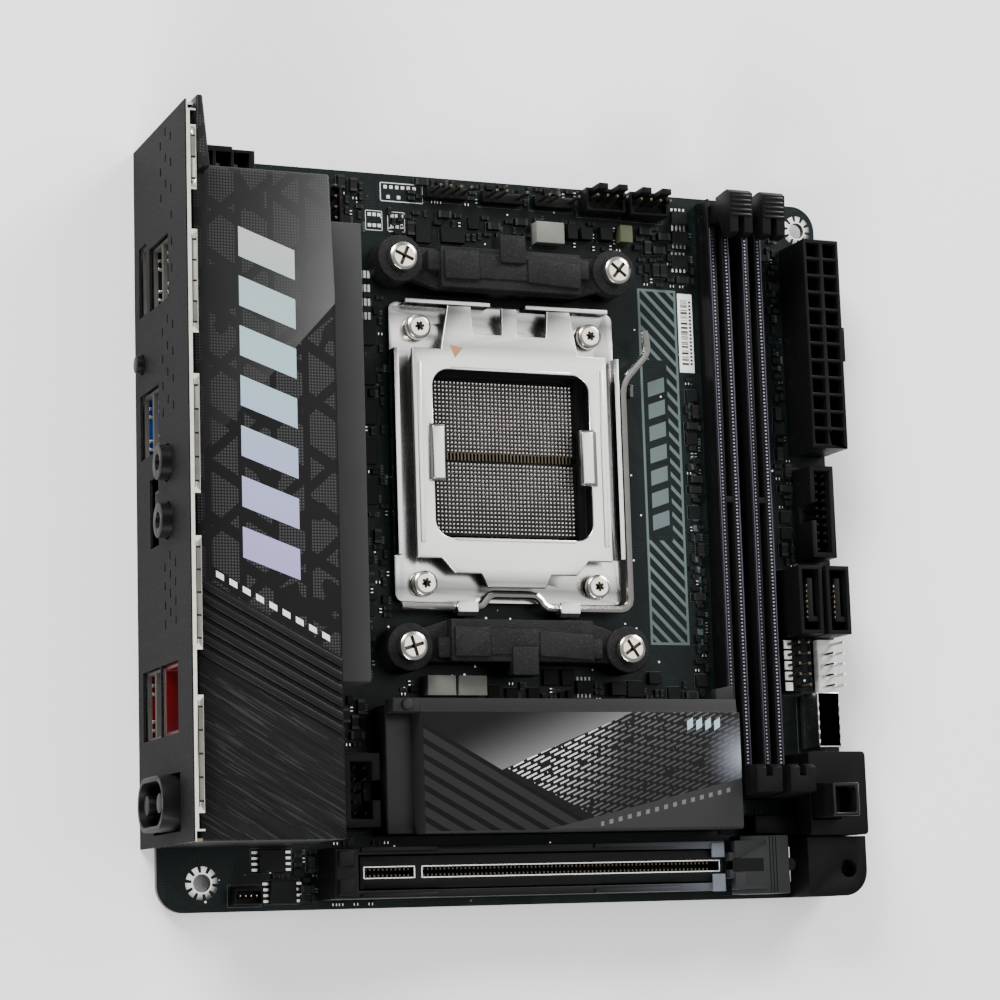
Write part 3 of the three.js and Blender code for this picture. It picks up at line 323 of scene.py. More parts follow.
def pressed(name, colour, shade, levels, reflection_bands=(), rough=0.27):
    """Pressed steel with painted reflection: bright on its flats, darker on the walls, bends and bands between
    them.
    """
    paint = Finish(name)
    x, y, z = paint.place()
    lines = paint.noise(1.6, 4.0, paint.point(x * 6.0, y * 0.15, z * 6.0))
    cloud = paint.noise(0.09, 2.0)
    flat = 0.0
    for level in levels:
        flat = z.between(level - 0.16, level + 0.2) + flat
    flat = flat.maths("MINIMUM", 1.0)
    # Painted reflection: the flats are dimmed in bands along y, where bent steel mirrors the dark room.
    for middle, reach, depth in reflection_bands:
        near = (1.0 - abs(y - middle) / reach).maths("MAXIMUM", 0.0)
        flat = flat * (1.0 - near * depth)
    # Painted reflection: the walls between the flats take a dark shade colour.
    wall = paint.mix(lines, tuple(c * 0.5 for c in shade), shade)
    face = paint.mix(cloud * 0.7 + lines * 0.3, tuple(c * 0.80 for c in colour), colour)
    return paint.surface(
        Base_Color=paint.mix(flat, wall, face),
        Metallic=1.0,
        Roughness=rough - 0.05 + lines * 0.08 + cloud * 0.06,
        Normal=paint.bump(lines, LINE_DEPTH),
    )


BLACK_PLASTIC = moulded("black_plastic", (0.0036, 0.0036, 0.0039))
ROUGH_BLACK = moulded("rough_black_plastic", (0.0050, 0.0050, 0.0053), rough=0.6, grain=0.05)
SATIN_BLACK = moulded("satin_black_plastic", (0.0045, 0.0045, 0.0048), rough=0.3, grain=0.006, shine=0.2)
WHITE_PLASTIC = moulded("white_plastic", (0.78, 0.78, 0.75), rough=0.4, spread=0.05)
RED_PLASTIC = moulded("red_plastic", (0.055, 0.0014, 0.002), rough=0.35)
BLUE_PLASTIC = moulded("blue_plastic", (0.003, 0.017, 0.100), rough=0.35)
CHIP_BLACK = moulded("chip_epoxy", (0.0065, 0.0068, 0.0070), rough=0.5, grain=0.02, spread=0.4)
CERAMIC = moulded("capacitor_ceramic", (0.0105, 0.0102, 0.0098), rough=0.45, spread=0.3)
RESISTOR = moulded("resistor_glaze", (0.010, 0.011, 0.012), rough=0.25)
FERRITE = moulded("choke_ferrite", (0.20, 0.20, 0.18), rough=0.6, grain=0.03, spread=0.12)
OLIVE_CASE = moulded("olive_choke_case", (0.10, 0.11, 0.065), rough=0.5, grain=0.02, spread=0.15)
WHITE_INK = moulded("white_ink", (0.62, 0.64, 0.62), rough=0.5, grain=0.004, spread=0.12)
STEEL = plated("plated_steel", (0.80, 0.79, 0.76))
WIRE_STEEL = plated("lever_steel", (0.86, 0.83, 0.78), rough=0.17)
SCREW_STEEL = plated("screw_nickel", (0.84, 0.80, 0.72), rough=0.2)
PORT_STEEL = plated("port_tin", (0.62, 0.60, 0.56), rough=0.3, wear=0.25)
# Painted shade: the ports' tin is a dark non-metal, so the inside of each box looks shaded.
PORT_PAINTED_SHADE = moulded("port_tin_painted_shade", (0.034, 0.032, 0.028), rough=0.45, spread=0.4)
CONTACT_TIN = plated("slot_contact_tin", (0.50, 0.50, 0.58), rough=0.35, wear=0.3)
LATCH_GREY = moulded("latch_grey_plastic", (0.016, 0.0165, 0.017), rough=0.45, shine=0.12)
RAIL_GREY = moulded("rail_grey_violet", (0.050, 0.050, 0.068), rough=0.45)
SOLDER = plated("tinned_solder", (0.78, 0.78, 0.76), rough=0.3, wear=0.3)
GOLD = plated("gold_contacts", (0.62, 0.50, 0.30), rough=0.25)
DARK_GOLD = plated("dull_gold_pins", (0.10, 0.085, 0.06), rough=0.35, wear=0.4)
BLACK_METAL = moulded("coated_black_metal", (0.0060, 0.0060, 0.0066), rough=0.34, grain=0.01, shine=0.3)
print(len(bpy.data.materials), "finishes")

# %% [markdown]
# ## The circuit board's skin
# Solder mask is a thin dark varnish over copper. The copper's tracks raise it slightly and make it a
# little greener where they run, and every bus turns by half a right angle. Modelling thousands of
# tracks would cost far more than they show, so they are drawn: cells choose a direction, and stripes
# inside a cell are the tracks. Drilled holes between layers are small tinned dots.

# %% Solder mask
def stripe_panel(x, y):
    """The panel printed beside the socket: a frame, slanted stripes, blocks and dashes."""
    inside = x.between(35.8, 46.0) * y.between(-25.0, 61.5)
    frame = inside * (1.0 - x.between(36.4, 45.4) * y.between(-24.4, 60.9))
    stripes = inside * ((x + y) * 0.7071).repeat(2.3).between(0.0, 0.36)
    ends = (y > 44.0) + (y < 0.0) + (x > 42.8)
    lean = y - x * 0.35
    blocks = x.between(37.6, 42.0) * lean.between(-12.0, 26.0) * (lean.repeat(5.4) < 0.66)
    row = x.between(48.2, 49.7) * y.between(-26.0, 34.0) * y.repeat(2.5).between(0.0, 0.6)
    words = y.repeat(15.0) < 0.82
    return (frame + stripes * ends + blocks + row * words * 0.7).maths("MINIMUM", 1.0) * 0.75


def solder_mask():
    paint = Finish("solder_mask")
    x, y, z = paint.place()
    flat = paint.point(x, y)
    cell = paint.cells(0.085, flat, "Color", distance="CHEBYCHEV")
    pick = paint.part(cell)
    along = (x * (pick > 0.62)) + (y * (pick < 0.36)) + ((x + y) * 0.7 * pick.between(0.36, 0.62))
    second = paint.part(cell, 1)
    tracks = (abs(along.repeat(0.62) - 0.5) < 0.2) * (second > 0.3)
    plane_edge = paint.cells(0.085, flat, feature="DISTANCE_TO_EDGE")
    tracks = tracks * (plane_edge > 0.03)
    via = paint.cells(0.34, flat)
    lot = paint.part(paint.cells(0.34, flat, "Color"))
    tinned = (via < 0.09) * (lot > 0.72)
    rings = 0.0
    x0, x1, y0, y1 = span("circuit_board")[:4]
    mounts = ((x0 + 10.16, y0 + 6.35), (x0 + 33.02, y1 - 6.17), (x1 - 4.9, y1 - 6.17))
    for hole_x, hole_y in mounts:
        away = paint.away(x - hole_x, y - hole_y)
        turn = (y - hole_y).maths("ARCTAN2", x - hole_x)
        petals = (turn * 10.0).maths("SINE") > -0.45
        fade = (1.0 - (away - 2.3) / 1.6) * 0.75 + ((hole_x - x) + (y - hole_y)) * 0.11 + 0.28
        ring = away.between(1.9, 3.7) * petals * fade.maths("MAXIMUM", 0.08) + away.between(1.9, 2.35)
        rings = ring + rings
    metal = (tinned + rings).maths("MINIMUM", 1.0)
    normal = paint.add("ShaderNodeNewGeometry", output="True Normal")
    upright = abs(paint.part(normal, 2)) > 0.5
    cloud = paint.noise(0.06, 3.0)
    mask = paint.mix(cloud, (0.0020, 0.0042, 0.0040), (0.0034, 0.0066, 0.0062))
    over_copper = paint.mix(tracks * 0.75, mask, (0.0060, 0.0125, 0.0115))
    printed = paint.mix(stripe_panel(x, y), over_copper, (0.115, 0.150, 0.150))
    face = paint.mix(metal, printed, (0.74, 0.74, 0.71))
    glass_cloth = paint.noise(3.0, 2.0)
    side = paint.mix(glass_cloth, (0.02, 0.018, 0.011), (0.09, 0.075, 0.04))
    relief = paint.bump(tracks + metal * 1.5, 0.02)
    return paint.surface(
        Base_Color=paint.mix(upright, side, face),
        Metallic=metal * upright,
        Roughness=0.34 + cloud * 0.1 - metal * 0.06,
        Specular_IOR_Level=0.12,
        Normal=paint.bump(paint.noise(4.0, 3.0), 0.006, under=relief),
    )


SOLDER_MASK = solder_mask()
print("solder mask:", len(SOLDER_MASK.node_tree.nodes), "nodes")

# %% [markdown]
# ## Modelling helpers
# Everything is modelled as by hand: a primitive, edit-mode work, and modifiers that are applied.
# These helpers keep that short. Each leaves the object at the origin with its place in its mesh, so
# that patterns on Object coordinates stay where they belong.

# %% Shaping helpers
SMOOTH_UNDER = 38


def only(*pieces):
    """Selects these pieces and no others, in object mode, and makes the first one active."""
    if bpy.context.mode != "OBJECT":
        bpy.ops.object.mode_set(mode="OBJECT")
    bpy.ops.object.select_all(action="DESELECT")
    for piece in pieces:
        piece.select_set(True)
    bpy.context.view_layer.objects.active = pieces[0]


def settle(piece):
    """Puts a piece's place, turn and size into its mesh."""
    only(piece)
    bpy.ops.object.transform_apply(location=True, rotation=True, scale=True)
    return piece


def apply(piece, kind, **settings):
    """Adds a modifier and applies it."""
    only(piece)
    modifier = piece.modifiers.new(kind.lower(), kind)
    for key, value in settings.items():
        setattr(modifier, key, value)
    bpy.ops.object.modifier_apply(modifier=modifier.name)


def ease(piece, width, segments=2, angle=32):
    """Rounds the edges that turn by more than the angle."""
    limit = math.radians(angle)
    apply(piece, "BEVEL", width=width * MM, segments=segments, limit_method="ANGLE", angle_limit=limit)
    only(piece)
    bpy.ops.object.shade_smooth_by_angle(angle=math.radians(SMOOTH_UNDER))
    return piece


def row(piece, count, x=0.0, y=0.0):
    """Repeats a piece in a line, with that many millimetres between one and the next."""
    step = (x * MM, y * MM, 0)
    apply(
        piece, "ARRAY", count=count, use_relative_offset=False,
        use_constant_offset=True, constant_offset_displace=step,
    )
    return piece


def choose(piece, test):
    """Selects the vertices that pass a test on their place in board millimetres, for edit mode."""
    only(piece)
    bpy.ops.object.mode_set(mode="EDIT")
    bpy.ops.mesh.select_mode(type="VERT")
    bpy.ops.mesh.select_all(action="DESELECT")
    bpy.ops.object.mode_set(mode="OBJECT")
    for vertex in piece.data.vertices:
        vertex.select = bool(test((vertex.co - HOME) / MM))
    bpy.ops.object.mode_set(mode="EDIT")


def slab(name, x0, x1, y0, y1, z0, z1, edge=0.12, slant=0.0, segments=2):
    """A soft-edged block. A slant moves its right-hand side that far along y."""
    bpy.ops.object.select_all(action="DESELECT")
    bpy.ops.mesh.primitive_cube_add(size=1, location=at((x0 + x1) / 2, (y0 + y1) / 2, (z0 + z1) / 2))
    piece = bpy.context.object
    piece.name = name
    piece.scale = ((x1 - x0) * MM, (y1 - y0) * MM, (z1 - z0) * MM)
    settle(piece)
    if slant:
        middle = (x0 + x1) / 2
        choose(piece, lambda p: p.x > middle)
        bpy.ops.transform.translate(value=(0, slant * MM, 0))
        bpy.ops.object.mode_set(mode="OBJECT")
    return ease(piece, edge, segments) if edge else piece


def rod(name, x, y, z0, z1, radius, sides=24, edge=0.1):
    """An upright cylinder."""
    bpy.ops.object.select_all(action="DESELECT")
    middle = at(x, y, (z0 + z1) / 2)
    depth = (z1 - z0) * MM
    bpy.ops.mesh.primitive_cylinder_add(vertices=sides, radius=radius * MM, depth=depth, location=middle)
    piece = bpy.context.object
    piece.name = name
    settle(piece)
    return ease(piece, edge) if edge else piece


def dress(piece, finish):
    """Gives a piece its finish."""
    piece.data.materials.clear()
    piece.data.materials.append(finish)
    return piece


# %% Joining, copying and cutting helpers
def together(name, pieces):
    """Joins pieces into one object."""
    only(*pieces)
    if len(pieces) > 1:
        bpy.ops.object.join()
    bpy.context.object.name = name
    bpy.context.object.data.name = name
    return bpy.context.object


def stamp(name, master, places):
    """Copies of a master that was modelled at the board's middle, one for each (x, y, z, degrees)."""
    copies = []
    for x, y, z, turn in places:
        copy = master.copy()
        copy.data = master.data.copy()
        bpy.context.collection.objects.link(copy)
        spin = Matrix.Rotation(math.radians(turn), 4, "Z")
        copy.data.transform(Matrix.Translation(at(x, y, z)) @ spin @ Matrix.Translation(-HOME))
        copies.append(copy)
    bpy.data.objects.remove(master)
    return together(name, copies)


def carve(piece, cutter):
    """Cuts one closed shape out of another."""
    apply(piece, "BOOLEAN", object=cutter, operation="DIFFERENCE", solver="EXACT")
    bpy.data.objects.remove(cutter)
    return piece


# %% Helpers that stand a piece in a node's place
def finished(node, edge=0.15, segments=2):
    """A soft-edged copy of a CAD node."""
    copy = nodes[node].copy()
    copy.data = nodes[node].data.copy()
    copy.name = node + "_finished"
    copy.parent = None
    copy.matrix_world = Matrix.Identity(4)
    bpy.context.collection.objects.link(copy)
    only(copy)
    bpy.ops.object.mode_set(mode="EDIT")
    bpy.ops.mesh.select_all(action="SELECT")
    bpy.ops.mesh.remove_doubles(threshold=1e-6)
    bpy.ops.mesh.dissolve_limited(angle_limit=math.radians(1.0))
    bpy.ops.object.mode_set(mode="OBJECT")
    if edge:
        ease(copy, edge, segments)
    else:
        bpy.ops.object.shade_smooth_by_angle(angle=math.radians(SMOOTH_UNDER))
    return copy


def mount(piece, body="board", stands_for=()):
    """Fixes a piece to a body, and hides the nodes that it stands for."""
    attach(piece, body)
    if stands_for:
        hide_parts(*stands_for)
    print(piece.name, len(piece.data.polygons), "faces")


def stand_in(node, pieces, body="board"):
    """Joins a node's detailed pieces and mounts them in its place."""
    mount(together(node + "_finished", pieces), body, [node])


def refinish(node, finish, edge=0.15, segments=2, body="board"):
    """For a node whose shape is already right: softer edges and a finish."""
    mount(dress(finished(node, edge, segments), finish), body, [node])


print("helpers ready")

# %% [markdown]
# ## The board itself
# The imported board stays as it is, because a sheet of laminate has sawn edges and drilled holes and
# nothing softer. Only its finish changes. The same goes for the plate and strip beneath it.

# %% Board, back plate and edge strip
dress(nodes["circuit_board"], SOLDER_MASK)
refinish("socket_backplate", BLACK_METAL, 0.3)
refinish("rear_edge_strip", ROUGH_BLACK, 0.3)

# %% [markdown]
# ## Processor socket
# A land-grid socket is a black tray full of tiny spring contacts, in a stamped steel frame with a
# hinged load plate and a bent wire lever. The contacts are modelled once as a small leaning wedge
# and repeated with two Array modifiers, because more than a thousand of them have to stay cheap. A
# drawn pattern would do from far away, but it would not catch the light row by row.

# %% Tray and contact field
sx0, sx1, sy0, sy1, sz0, sz1 = span("socket_housing")
SOCKET_X = (sx0 + sx1) / 2
SOCKET_Y = (sy0 + sy1) / 2
refinish("socket_housing", BLACK_PLASTIC, 0.25)
CONTACT_PITCH = 0.94
CONTACT_FLOOR = 2.5
CONTACT_COLUMNS = 37
CONTACT_ROWS = 18


def contact_half(name, y_start):
    """One of the two fields of contacts, from a single leaning wedge."""
    left = SOCKET_X - 0.4 - CONTACT_COLUMNS * CONTACT_PITCH / 2
    low, high = CONTACT_FLOOR - 0.05, CONTACT_FLOOR + 0.5
    wedge = slab(name, left, left + 0.68, y_start, y_start + 0.42, low, high, edge=0)
    choose(wedge, lambda p: p.z > CONTACT_FLOOR + 0.2)
    bpy.ops.transform.translate(value=(0, 0.28 * MM, 0))
    bpy.ops.transform.resize(value=(0.55, 0.7, 1))
    bpy.ops.object.mode_set(mode="OBJECT")
    row(wedge, CONTACT_COLUMNS, x=CONTACT_PITCH)
    return row(wedge, CONTACT_ROWS, y=CONTACT_PITCH)


CONTACT = plated("contact_springs", (0.66, 0.62, 0.60), rough=0.36, wear=0.3)
first = SOCKET_X - 16.8
bridge_tooth = slab("bridge_tooth", first, first + 0.35, SOCKET_Y - 0.9, SOCKET_Y + 0.9, 1.8, 3.0, 0)
row(bridge_tooth, 38, x=0.88)
halves = []
for low, high in ((SOCKET_Y - 18.6, SOCKET_Y - 0.7), (SOCKET_Y + 0.7, SOCKET_Y + 18.6)):
    bed = slab("contact_bed", SOCKET_X - 18.4, SOCKET_X + 17.6, low, high, 1.6, CONTACT_FLOOR)
    halves.append(dress(bed, SATIN_BLACK))
halves += [
    dress(bridge_tooth, DARK_GOLD),
    dress(contact_half("contacts_front", SOCKET_Y - 18.2), CONTACT),
    dress(contact_half("contacts_back", SOCKET_Y + 0.9), CONTACT),
]
mount(together("socket_contacts", halves))

# %% [markdown]
# ## Load plate and frame
# Both are stamped from sheet, so their edges are rolled over rather than cut square. The plate has
# pressed lips that keep it from bending. An inset in edit mode would follow every notch of the
# outline, which the real lips do not, so they are rounded bars of their own. Bent steel mirrors the
# dark of the room on its walls, and that reflection is painted into the colour: bright on the flats,
# darker on the walls between them and in bands across the steel.

# %% Load plate, frame and lever
py0, py1 = span("load_plate")[2:4]
PLATE_FACE = 7.0
LIP_TOPS = (PLATE_FACE + 0.16, PLATE_FACE + 0.22, PLATE_FACE + 0.75)
# Bands of painted reflection on the plate: middle, reach and depth of each.
PLATE_REFLECTION_BANDS = ((py0 + 1.2, 3.2, 0.75), (py1 - 1.5, 6.5, 0.85), (py1 - 9.5, 3.0, 0.45))
PLATE_FLATS = (PLATE_FACE, *LIP_TOPS)
PLATE_STEEL = pressed("plate_steel", (0.84, 0.83, 0.80), (0.16, 0.16, 0.155), PLATE_FLATS, PLATE_REFLECTION_BANDS)
plate = dress(finished("load_plate", 0.35, 3), PLATE_STEEL)
mark = Finish("copper_mark")
mark.place()
copper_tone = mark.mix(mark.noise(2.0), (0.30, 0.13, 0.06), (0.40, 0.18, 0.09))
COPPER = mark.surface(Base_Color=copper_tone, Roughness=0.42, Metallic=0.35)
corner = at(SOCKET_X - 13.6, SOCKET_Y + 24.2, PLATE_FACE + 0.02)
bpy.ops.object.select_all(action="DESELECT")
bpy.ops.mesh.primitive_cylinder_add(vertices=3, radius=1.9 * MM, depth=0.06 * MM, location=corner)
triangle = bpy.context.object
triangle.rotation_euler.z = math.radians(52)
dress(settle(triangle), COPPER)
lips = []
lip_top, wing_top, ear_top = LIP_TOPS
for side in (-1, 1):
    lip_y = SOCKET_Y + side * 19.95
    wing_x = SOCKET_X + side * 22.9
    ear_x = SOCKET_X + side * 18.7
    lips += [
        slab("lip", SOCKET_X - 15, SOCKET_X + 15, lip_y - 0.35, lip_y + 0.35, PLATE_FACE - 0.5, lip_top, 0.14),
        slab("wing", wing_x - 0.6, wing_x + 0.6, SOCKET_Y - 21, SOCKET_Y + 21, PLATE_FACE - 0.5, wing_top, 0.2),
        slab("ear", ear_x - 1.5, ear_x + 1.5, SOCKET_Y - 6.2, SOCKET_Y + 6.2, PLATE_FACE, ear_top, 0.3, segments=3),
    ]
for lip in lips:
    dress(lip, PLATE_STEEL)
stand_in("load_plate", [plate, triangle] + lips, "load_plate")
fy0, fy1 = span("socket_frame")[2:4]
FRAME_FLATS = (2.4, 3.05, 5.5, 5.85, 6.15, 6.42)
# Bands of painted reflection on the frame: middle, reach and depth of each.
FRAME_REFLECTION_BANDS = ((fy0 + 6.5, 4.5, 0.8), (fy1 - 3.0, 4.0, 0.75), (fy1 - 12.0, 3.0, 0.5))
FRAME_STEEL = pressed(
    "frame_steel", (0.76, 0.75, 0.73), (0.10, 0.10, 0.10), FRAME_FLATS, FRAME_REFLECTION_BANDS, rough=0.24,
)
refinish("socket_frame", FRAME_STEEL, 0.22, 2)
refinish("load_lever", WIRE_STEEL, 0, body="load_lever")

# %% [markdown]
# ## Screws
# The socket's screws have a star drive and the cooler's have a cross. A head starts as a cylinder:
# its top face is inset and raised for the dome, and the drive is cut in with a Boolean, since that
# is what a punch does. Each screw is turned a little further than the last, as real ones end up.

# %% Star and cross screws
# Painted shade: a dark tin laid at the bottom of each drive recess, where shadow falls.
RECESS_SHADE = plated("recess_painted_shade", (0.09, 0.075, 0.05), rough=0.4, wear=0.6)


def drive_bars(name, drive, low, high):
    """The bars that cross to make a star or a cross, each turned about the middle."""
    bars = []
    for turn in drive["turns"]:
        reach, half = drive["reach"], drive["half"]
        bar = slab(name, -reach, reach, -half, half, low, high, 0)
        spin = Matrix.Rotation(math.radians(turn), 4, "Z")
        bar.data.transform(Matrix.Translation(HOME) @ spin @ Matrix.Translation(-HOME))
        bars.append(bar)
    return bars


def screw_head(name, radius, low, high, drive):
    """A domed head with its drive punched in and a dark bed of painted shade at the bottom of the recess."""
    head = rod(name, 0, 0, low, high, radius, 40, edge=0)
    choose(head, lambda p: p.z > high - 0.01)
    bpy.ops.mesh.inset(thickness=radius * 0.28 * MM, depth=0)
    bpy.ops.transform.translate(value=(0, 0, 0.35 * MM))
    bpy.ops.object.mode_set(mode="OBJECT")
    ease(head, 0.18, 2, 20)
    for arm in drive_bars("arm", drive, high - drive["depth"], high + 1):
        carve(head, arm)
    only(head)
    bpy.ops.object.shade_smooth_by_angle(angle=math.radians(30))
    dress(head, SCREW_STEEL)
    # Painted shade: dark beds at the bottom of the recess.
    shade_beds = drive_bars("bed", drive, high - drive["depth"] - 0.1, high - 0.55)
    return together(name, [head] + [dress(bed, RECESS_SHADE) for bed in shade_beds])


STAR = {"turns": (0, 60, 120), "reach": 1.15, "half": 0.36, "depth": 1.0}
CROSS = {"turns": (0, 90), "reach": 2.35, "half": 0.42, "depth": 1.3}
for kind, drive in (("socket_screw", STAR), ("cooler_screw", CROSS)):
    for number in range(1, 5):
        x0, x1, y0, y1, z0, z1 = span(f"{kind}_{number}")
        low = z1 - 2.35
        head = screw_head("head", (x1 - x0) / 2, low, z1 - 0.4, drive)
        shank = dress(rod("shank", 0, 0, z0, low + 0.1, 1.5, 16, 0.2), SCREW_STEEL)
        screw = together("screw", [head, shank])
        middle = ((x0 + x1) / 2, (y0 + y1) / 2, 0, 17 * number)
        stand_in(f"{kind}_{number}", [stamp("screw", screw, [middle])])

# %% [markdown]
# ## Cooler brackets
# Two black mouldings carry the cooler. They are ribbed and stepped, with a coarse sparked surface.
# The CAD copy gives the bosses and arms, and stepped pads are added on top, as the mould does.

# %% Brackets
def sparked(name, dark, light):
    """A coarse spark-eroded surface with a painted glint here and there."""
    paint = Finish(name)
    paint.place()
    spark = paint.noise(5.0, 5.0)
    painted_glint = paint.noise(2.3, 1.0) > 0.62
    facet = paint.part(paint.cells(0.16, output="Color"))
    base = paint.mix((spark - 0.3) * 1.2 + facet * 0.7, dark, light)
    return paint.surface(
        # Painted highlight: scattered glints lighten the base colour.
        Base_Color=paint.mix(painted_glint * 0.35, base, (0.030, 0.030, 0.031)),
        Roughness=0.62 - painted_glint * 0.2,
        Specular_IOR_Level=0.16,
        Normal=paint.bump(spark, 0.09),
    )


SPARKED = sparked("sparked_black_moulding", (0.0026, 0.0026, 0.0027), (0.0078, 0.0078, 0.0080))
for node, side in (("cooler_bracket_back", 1), ("cooler_bracket_front", -1)):
    bracket = dress(finished(node, 0.45, 3), SPARKED)
    middle = SOCKET_Y + side * 45
    near = middle - side * 1.2
    pads = [
        slab("block", SOCKET_X - 17.0, SOCKET_X - 8.4, near - 3.4, near + 3.4, 8, 10.5, 0.3),
        slab("top", SOCKET_X - 9.0, SOCKET_X + 4.4, near - 2.9, near + 3.1, 8, 10.1, 0.3),
        slab("top", SOCKET_X + 3.8, SOCKET_X + 17.2, near - 3.2, near + 2.6, 8, 10.4, 0.3, -0.8),
        slab("step", SOCKET_X - 20.4, SOCKET_X + 20.4, middle - 2.4, middle + 2.4, 5, 8.4, 0.5),
    ]
    for pad in pads:
        dress(pad, SPARKED)
    skirt_y = middle - side * 4.9
    first = SOCKET_X - 16.8
    tooth = slab("tooth", first, first + 0.7, skirt_y - 1.5, skirt_y + 1.5, 6.0, 8.9, 0.12, segments=1)
    row(tooth, 31, x=1.06)
    low, high = skirt_y - 1.15, skirt_y + 1.15
    skirt = slab("skirt", SOCKET_X - 17.2, SOCKET_X + 16.9, low, high, 5.8, 8.7, 0.2)
    pads += [dress(tooth, BLACK_PLASTIC), dress(skirt, BLACK_PLASTIC)]
    stand_in(node, [bracket] + pads)

# %% [markdown]
# ## Printed and brushed metal
# The tall cover over the rear ports is black aluminium. Its upper part is glossy and printed with
# fields of tiny dots, a glare across one corner is painted in as a paler patch with a painted
# sheen, and its lower part is brushed on the slant, with painted shade in the band of grooves.
# Print has no height, so it is drawn in the material; the six ribs between the two parts do have
# height, so they are modelled. The lettering of the real thing is replaced by plain slanted bars.

# %% Cover print
RIB_SLOPE = -0.54
BRUSH_SLOPE = -0.60


def dot_field(x, y, pitch, radius):
    """Round dots on a square grid."""
    across = x.repeat(pitch) - 0.5
    up = y.repeat(pitch) - 0.5
    return (across * across + up * up) < radius * radius


def brushed(paint, x, y, density):
    """Noise drawn out into long slanting scratches."""
    along = (x + y * BRUSH_SLOPE) * 0.05
    over = (y - x * BRUSH_SLOPE) * density
    return paint.noise(1.0, 6.0, paint.point(along, over))


def cover_print():
    """Dots in broken fields, a painted glare on a paler corner, scratches below the ribs and painted shade in their
    grooves.
    """
    paint = Finish("cover_print")
    x, y, z = paint.place()
    rise = y - x * RIB_SLOPE
    upper = rise > -61.0
    column = (x / 7.4).maths("FLOOR")
    lean = y + x * 0.62 + column * 5.7
    field = (x.repeat(7.4) < 0.80) * (lean.repeat(11.5) < 0.76)
    notch = (y - x * 0.9 + column * 3.1).repeat(17.0) < 0.84
    wander = paint.noise(0.10, 1.0) > 0.40
    field = field * notch * wander
    dots = dot_field(x, y, 0.66, 0.33) * field
    # Painted glare: a paler corner, brightening with the painted sheen, with its dots lit too.
    pale = (y - x * 1.12) > 104.0
    painted_sheen = ((x + 84.0) / 31.0).maths("POWER", 2.6)
    painted_sheen = painted_sheen * ((92.0 - y) / 48.0).maths("MINIMUM", 1.0)
    gloss_black = paint.mix(field, (0.0028, 0.0028, 0.0031), (0.0058, 0.0058, 0.0062))
    dotted = paint.mix(dots, gloss_black, (0.036, 0.036, 0.037))
    corner = paint.mix(painted_sheen, (0.0075, 0.0075, 0.0078), (0.075, 0.075, 0.075))
    corner = paint.mix(dots * 0.55, corner, (0.052, 0.052, 0.053))
    printed = paint.mix(pale, dotted, corner)
    streak = brushed(paint, x, y, 1.9)
    bright = brushed(paint, x, y, 1.3) > 0.57
    lower = paint.mix((streak - 0.3) * 2.2, (0.0014, 0.0014, 0.0015), (0.0100, 0.0100, 0.0103))
    lower = paint.mix(bright * streak * 0.8, lower, (0.034, 0.034, 0.035))
    # Painted shade: the band of grooves between the ribs is darkened.
    groove_shade = rise.between(-78.2, -61.0)
    lower = paint.mix(groove_shade * 0.7, lower, (0.0050, 0.0050, 0.0052))
    top = z > 30.0
    return paint.surface(
        Base_Color=paint.mix(top, (0.006, 0.006, 0.0065), paint.mix(upper, lower, printed)),
        Roughness=0.40 - upper * 0.06 + streak * 0.1,
        Specular_IOR_Level=0.12,
        Normal=paint.bump(streak * (1 - upper), 0.05),
    )


RAINBOW = [
    (0.0, (0.25, 0.20, 0.42)), (0.3, (0.26, 0.28, 0.44)), (0.55, (0.24, 0.37, 0.40)),
    (0.78, (0.27, 0.36, 0.36)), (1.0, (0.44, 0.33, 0.30)),
]


def rainbow_ink(name, lowest, highest):
    """Pale ink that drifts from violet to a warm grey between two heights."""
    paint = Finish(name)
    x, y, z = paint.place()
    height = (y + x * 0.35 - lowest) / (highest - lowest)
    shade = paint.add("ShaderNodeValToRGB", {"stops": RAINBOW}, {0: height})
    return paint.surface(
        Base_Color=paint.mix(paint.noise(3.0) * 0.08, shade, (0.6, 0.6, 0.6)),
        Roughness=0.42 + paint.noise(1.0) * 0.08,
        Specular_IOR_Level=0.15,
    )


COVER_PRINT = cover_print()
COVER_INK = rainbow_ink("cover_ink", -45.0, 45.0)
print("cover finishes ready")

# %% Cover, ribs and bars
ROOF = 34.0
cx0, cx1 = span("io_cover")[:2]
rib_left, rib_right = cx0 + 0.2, cx1 - 0.3
rib_slant = RIB_SLOPE * (rib_right - rib_left)
cover = dress(finished("io_cover", 0.5, 3), COVER_PRINT)
ribs = []
for number in range(6):
    start = -15.9 - 2.85 * number
    rib = slab("rib", rib_left, rib_right, start - 1.9, start, ROOF - 0.6, ROOF + 0.75, 0.42, rib_slant, 3)
    ribs.append(dress(rib, COVER_PRINT))
for number in range(7):
    start = 60.5 - 10.9 * number
    bar = slab("bar", -74.6, -62.0, start - 6.6, start, ROOF - 0.2, ROOF + 0.07, 0.03, -4.6, 1)
    ribs.append(dress(bar, COVER_INK))
for number in range(9):
    left = -80.6 + 2.9 * number
    low = -17.0 + RIB_SLOPE * (left + 84.9) + 3.6
    dash = slab("dash", left, left + 1.7, low, low + 1.3, ROOF - 0.2, ROOF + 0.05, 0.02, RIB_SLOPE * 1.7, 1)
    ribs.append(dress(dash, WHITE_INK))
stand_in("io_cover", [cover] + ribs)

